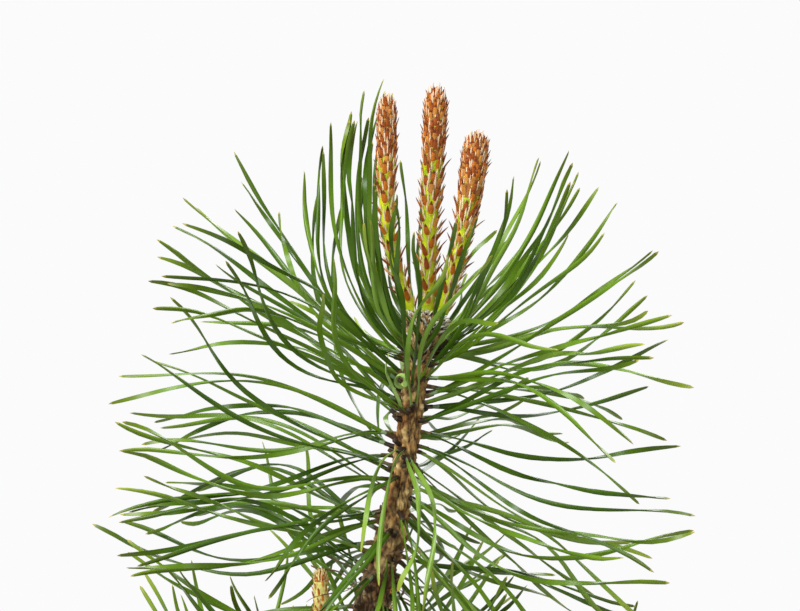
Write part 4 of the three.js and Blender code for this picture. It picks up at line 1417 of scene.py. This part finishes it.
SOIL_LEVEL = 93.2
SOIL_RISE = 1.3
SOIL_LUMP = 9
SOIL_STEPS = 150
SOIL_FOOT = 70
SOIL_FOOT_SHARE = 0.955
SOIL_CHIPS = 420
CHIP_OUTLINE = [(1, -0.3), (0.9, 0.6), (-0.8, 0.7), (-1, -0.4)]
CHIP_STATIONS = [0, 0.12, 0.5, 0.85, 1]
CHIP_WIDTHS = [0.4, 1, 0.9, 0.7, 0]
CHIP_HEIGHTS = [0.6, 1, 1, 0.8, 0]
CHIP_LENGTHS = (1.6, 5.5)
CHIP_BREADTHS = (0.3, 0.6)
CHIP_THICKNESSES = (0.5, 1.1)
CHIP_CLIMB = (-0.35, 0.35)
CHIP_TIP = (-0.5, 0.5)
CHIPS_IN = 8
CHIPS_OUT = 4


def soil_level(x, y, radius):
    """The crumbly surface of the soil, a little higher round the trunk, in millimetres."""
    share = math.hypot(x, y) / radius
    lumps = noise.fractal((x / SOIL_LUMP, y / SOIL_LUMP, 3.1), 0.6, 2.1, 5) * SOIL_RISE * (1 - share**6)
    return SOIL_LEVEL + SOIL_RISE * (1 - share**2) + lumps


def make_soil(material):
    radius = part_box("soil")[1].x / MM
    bed = bmesh.new()
    bmesh.ops.create_grid(bed, x_segments=SOIL_STEPS, y_segments=SOIL_STEPS, size=1)
    for corner in bed.verts:
        x, y = corner.co.x, corner.co.y
        reach = max(abs(x), abs(y))
        length = math.hypot(x, y) or 1
        x, y = x * reach / length * radius, y * reach / length * radius
        corner.co = Vector((x, y, soil_level(x, y, radius))) * MM
    rim = [edge for edge in bed.edges if edge.is_boundary]
    sunk = bmesh.ops.extrude_edge_only(bed, edges=rim)["geom"]
    down = [part for part in sunk if isinstance(part, bmesh.types.BMVert)]
    for corner in down:
        corner.co.z = SOIL_FOOT * MM
        corner.co.xy *= SOIL_FOOT_SHARE
    bmesh.ops.holes_fill(bed, edges=[edge for edge in bed.edges if edge.is_boundary])
    bmesh.ops.recalc_face_normals(bed, faces=bed.faces)
    return piece_from(bed, "potting_soil", material)


def make_soil_chips(materials):
    """Small chips of composted bark, lying flat or tipped into the soil."""
    deal = np.random.default_rng(SEED + 2)
    heap = Heap()
    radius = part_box("soil")[1].x / MM
    for i in range(SOIL_CHIPS):
        away = mix(CHIPS_IN, radius - CHIPS_OUT, math.sqrt((i + 0.5) / SOIL_CHIPS))
        spot = polar(GOLDEN_ANGLE * i + deal.uniform(-20, 20)) * away
        length = deal.uniform(*CHIP_LENGTHS)
        wide = length * deal.uniform(*CHIP_BREADTHS)
        thick = deal.uniform(*CHIP_THICKNESSES)
        aim = unit(np.append(polar(deal.uniform(0, 360)), deal.uniform(*CHIP_CLIMB)))
        across = unit(np.cross(UP, aim) + UP * deal.uniform(*CHIP_TIP))
        root = np.append(spot, soil_level(*spot, radius) + 0.1) - aim * length / 2
        line = root + aim * (np.array(CHIP_STATIONS) * length)[:, None]
        widths = np.array(CHIP_WIDTHS) * wide / 2
        heights = np.array(CHIP_HEIGHTS) * thick / 2
        tint = int(deal.integers(len(materials)))
        heap.sweep(line, np.tile(across, (len(line), 1)), CHIP_OUTLINE, widths, heights, [tint])
    return heap.mesh("soil_chips", materials, sharp=30)


# Studio

LIT_MIDDLE = (0.01, 0, 0.2)
FLOOR_RADIUS = 0.95


def area_light(name, place, size, power):
    light = bpy.data.lights.new(name, "AREA")
    light.shape = "SQUARE"
    light.size = size
    light.energy = power
    lamp = linked(name, light)
    lamp.location = place
    aim = Vector(LIT_MIDDLE) - Vector(place)
    lamp.rotation_euler = aim.to_track_quat("-Z", "Y").to_euler()


def make_studio():
    world = bpy.data.worlds.new("soft_studio")
    world.use_nodes = True
    tree = world.node_tree
    seen = tree.nodes["Background"]
    seen.inputs["Color"].default_value = linear(0xFBFBFB)
    lighting = add(tree, "ShaderNodeBackground", {"Color": linear(0xFFFFFF), "Strength": 0.36})
    path = add(tree, "ShaderNodeLightPath")
    both = add(
        tree, "ShaderNodeMixShader",
        links={0: path.outputs["Is Camera Ray"], 1: lighting.outputs[0], 2: seen.outputs[0]},
    )
    tree.links.new(both.outputs[0], tree.nodes["World Output"].inputs["Surface"])
    bpy.context.scene.world = world
    area_light("top_light", (-0.15, -0.1, 1.1), 0.5, 15)
    area_light("key_light", (-0.75, -0.7, 0.75), 0.4, 14)
    area_light("fill_light", (0.9, -0.5, 0.5), 0.6, 3)
    area_light("rim_light", (0.3, 0.9, 0.8), 0.6, 6)


def make_floor():
    disc = bmesh.new()
    bmesh.ops.create_circle(disc, cap_ends=True, segments=128, radius=FLOOR_RADIUS)
    piece_from(disc, "pale_floor", pale_floor(FLOOR_RADIUS), smooth=False)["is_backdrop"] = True


def make_camera():
    camera = bpy.data.cameras.new("camera")
    camera.lens = LENS
    camera.sensor_width = SENSOR
    camera.clip_start = 0.01
    camera.clip_end = 100
    tilt = math.radians(VIEW_ELEVATION)
    eye = np.array(VIEW_MIDDLE) + np.array([0, -math.cos(tilt), math.sin(tilt)]) * VIEW_DISTANCE
    viewer = linked("camera", camera)
    viewer.location = Vector(eye * MM)
    viewer.rotation_euler = (math.pi / 2 - tilt, 0, 0)
    bpy.context.scene.camera = viewer


# Putting the plant together

make_camera()
make_studio()
make_floor()
bpy.context.scene.view_settings.view_transform = "Standard"

grown = grow_all()
masses = sorted(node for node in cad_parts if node.startswith("needles_"))

YOUNG_BARK = (0x2A1E10, 0xDCCAA0, 0x6C5530, 0x9E824E, 0xC0A36A)
OLD_BARK = (0x1E1710, 0xB4A480, 0x503F2A, 0x826C4A, 0xA08B66)
trunk_bark = pine_bark("pine_bark", YOUNG_BARK, OLD_BARK, change=196)
bough_bark = pine_bark("young_pine_bark", YOUNG_BARK, OLD_BARK, change=160)
settle("bark", ["trunk"], make_trunk(grown, trunk_bark))
for name, bough in boughs.items():
    settle("bark", [f"bough_{name}"], make_bough(name, bough, grown, bough_bark))
GREENS = {
    "deep": needle_wax("deep_green_needle", 0x284206, 0x405E0B, 0x4E5A12),
    "leaf": needle_wax("green_needle", 0x3D5C0B, 0x5A7817, 0x606C18),
    "fresh": needle_wax("fresh_green_needle", 0x4A6814, 0x6E8B34, 0x7E842A),
    "dead": dry_scale("dead_needle", 0x4E3A28, 0x8C6E4E, size=3),
    "curled": needle_wax("pale_curled_needle", 0x66873A, 0xA2BC6C, 0x90A654),
}
tip = dry_scale("dry_needle_tip", 0x6E661C, 0x9C9038)
base = dry_scale("needle_foot", 0x5E7A48, 0x93AB82, roughness=0.5)
heaps, sheaths = make_needles(grown)
for kind, heap in heaps.items():
    settle("needles", masses, heap.mesh(f"needles_{kind}", [GREENS[kind], tip, base], sharp=110))
sleeves = dry_scales(
    ("dark_sheath", 0x150E09, 0x3C2A1C),
    ("brown_sheath", 0x251810, 0x5A3F27),
    ("tan_sheath", 0x3E2C1A, 0x8A6A45),
    ("frayed_sheath_rim", 0x1E150E, 0x52422D),
)
settle("needles", masses, sheaths.mesh("needle_sheaths", sleeves))

bracts = []
for name, dark, light in (
    ("orange_scale", 0x8E4406, 0xCC761A),
    ("red_brown_scale", 0x702E06, 0xAC5812),
    ("tan_scale", 0x9E5C16, 0xD89644),
):
    bracts += dry_scales((name, dark, light), (f"{name}_tip", 0x4E2008, 0x86411A), roughness=0.5)
papery = dry_scale("papery_bud", 0xB88E62, 0xF4E0C2, roughness=0.5)
yellowish = dry_scale("young_papery_bud", 0xC9A94C, 0xF0E3B0, roughness=0.5)
felt = dry_scale("brown_felt", 0x7A4216, 0xA8753C, size=0.5, roughness=0.8)
shoot = (tender_shoot(), felt)
young_shoot = (dry_scale("pale_young_shoot", 0xB4B03A, 0xE8DE8C), felt)
rim = dry_scale("scale_heel", 0xA39A20, 0xCFC04A, roughness=0.45)
candle_nodes = sorted(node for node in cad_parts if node.startswith("candle_"))
scales, slivers, rims = Heap(), Heap(), Heap()
deal = np.random.default_rng(SEED + 3)
for name, line in TOP_CANDLES.items():
    stem = make_candle_stem(f"shoot_{name}", line, CANDLES[name], shoot)
    settle("candle", [f"candle_{name}"], stem)
    add_candle_cover(scales, slivers, rims, line, CANDLES[name], largest=1.0, young=False, deal=deal)
for name, bough in boughs.items():
    line = bough["candle"]
    stem = make_candle_stem(f"shoot_{name}", line, BOUGH_CANDLE, young_shoot)
    settle("candle", [f"candle_{name}"], stem)
    add_candle_cover(scales, slivers, rims, line, BOUGH_CANDLE, largest=0.72, young=True, deal=deal)
settle(
    "candle", candle_nodes,
    scales.mesh("candle_scales", bracts),
    slivers.mesh("candle_buds", [papery, yellowish]),
    rims.mesh("scale_heels", [rim]),
)

papers = dry_scales(
    ("white_bud_scale", 0xDDD6CA, 0xFBF8F2),
    ("grey_bud_scale", 0x7E776C, 0xB5AEA2),
    ("tan_bud_scale", 0x8E6A42, 0xC79C6C),
    # Black scales: partly dark dead scales, partly painted shade in the gaps among the white scales
    ("black_bud_scale_and_painted_shade", 0x1C140E, 0x4A3828),
)
settle("bark", ["trunk"], make_bud_scales(papers))

settle("terracotta", ["pot"], make_pot(earthenware()))
chips = dry_scales(
    ("dark_bark_chip", 0x2A1C13, 0x54392A), ("brown_bark_chip", 0x4A3022, 0x7E5A40),
    size=1.5, roughness=0.9,
)
settle("potting_soil", ["soil"], make_soil(peat()), make_soil_chips(chips))

visual_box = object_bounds()
boxes = {"packed": packed_box, "visual": visual_box}
{name: [list(corner) for corner in box] for name, box in boxes.items()}
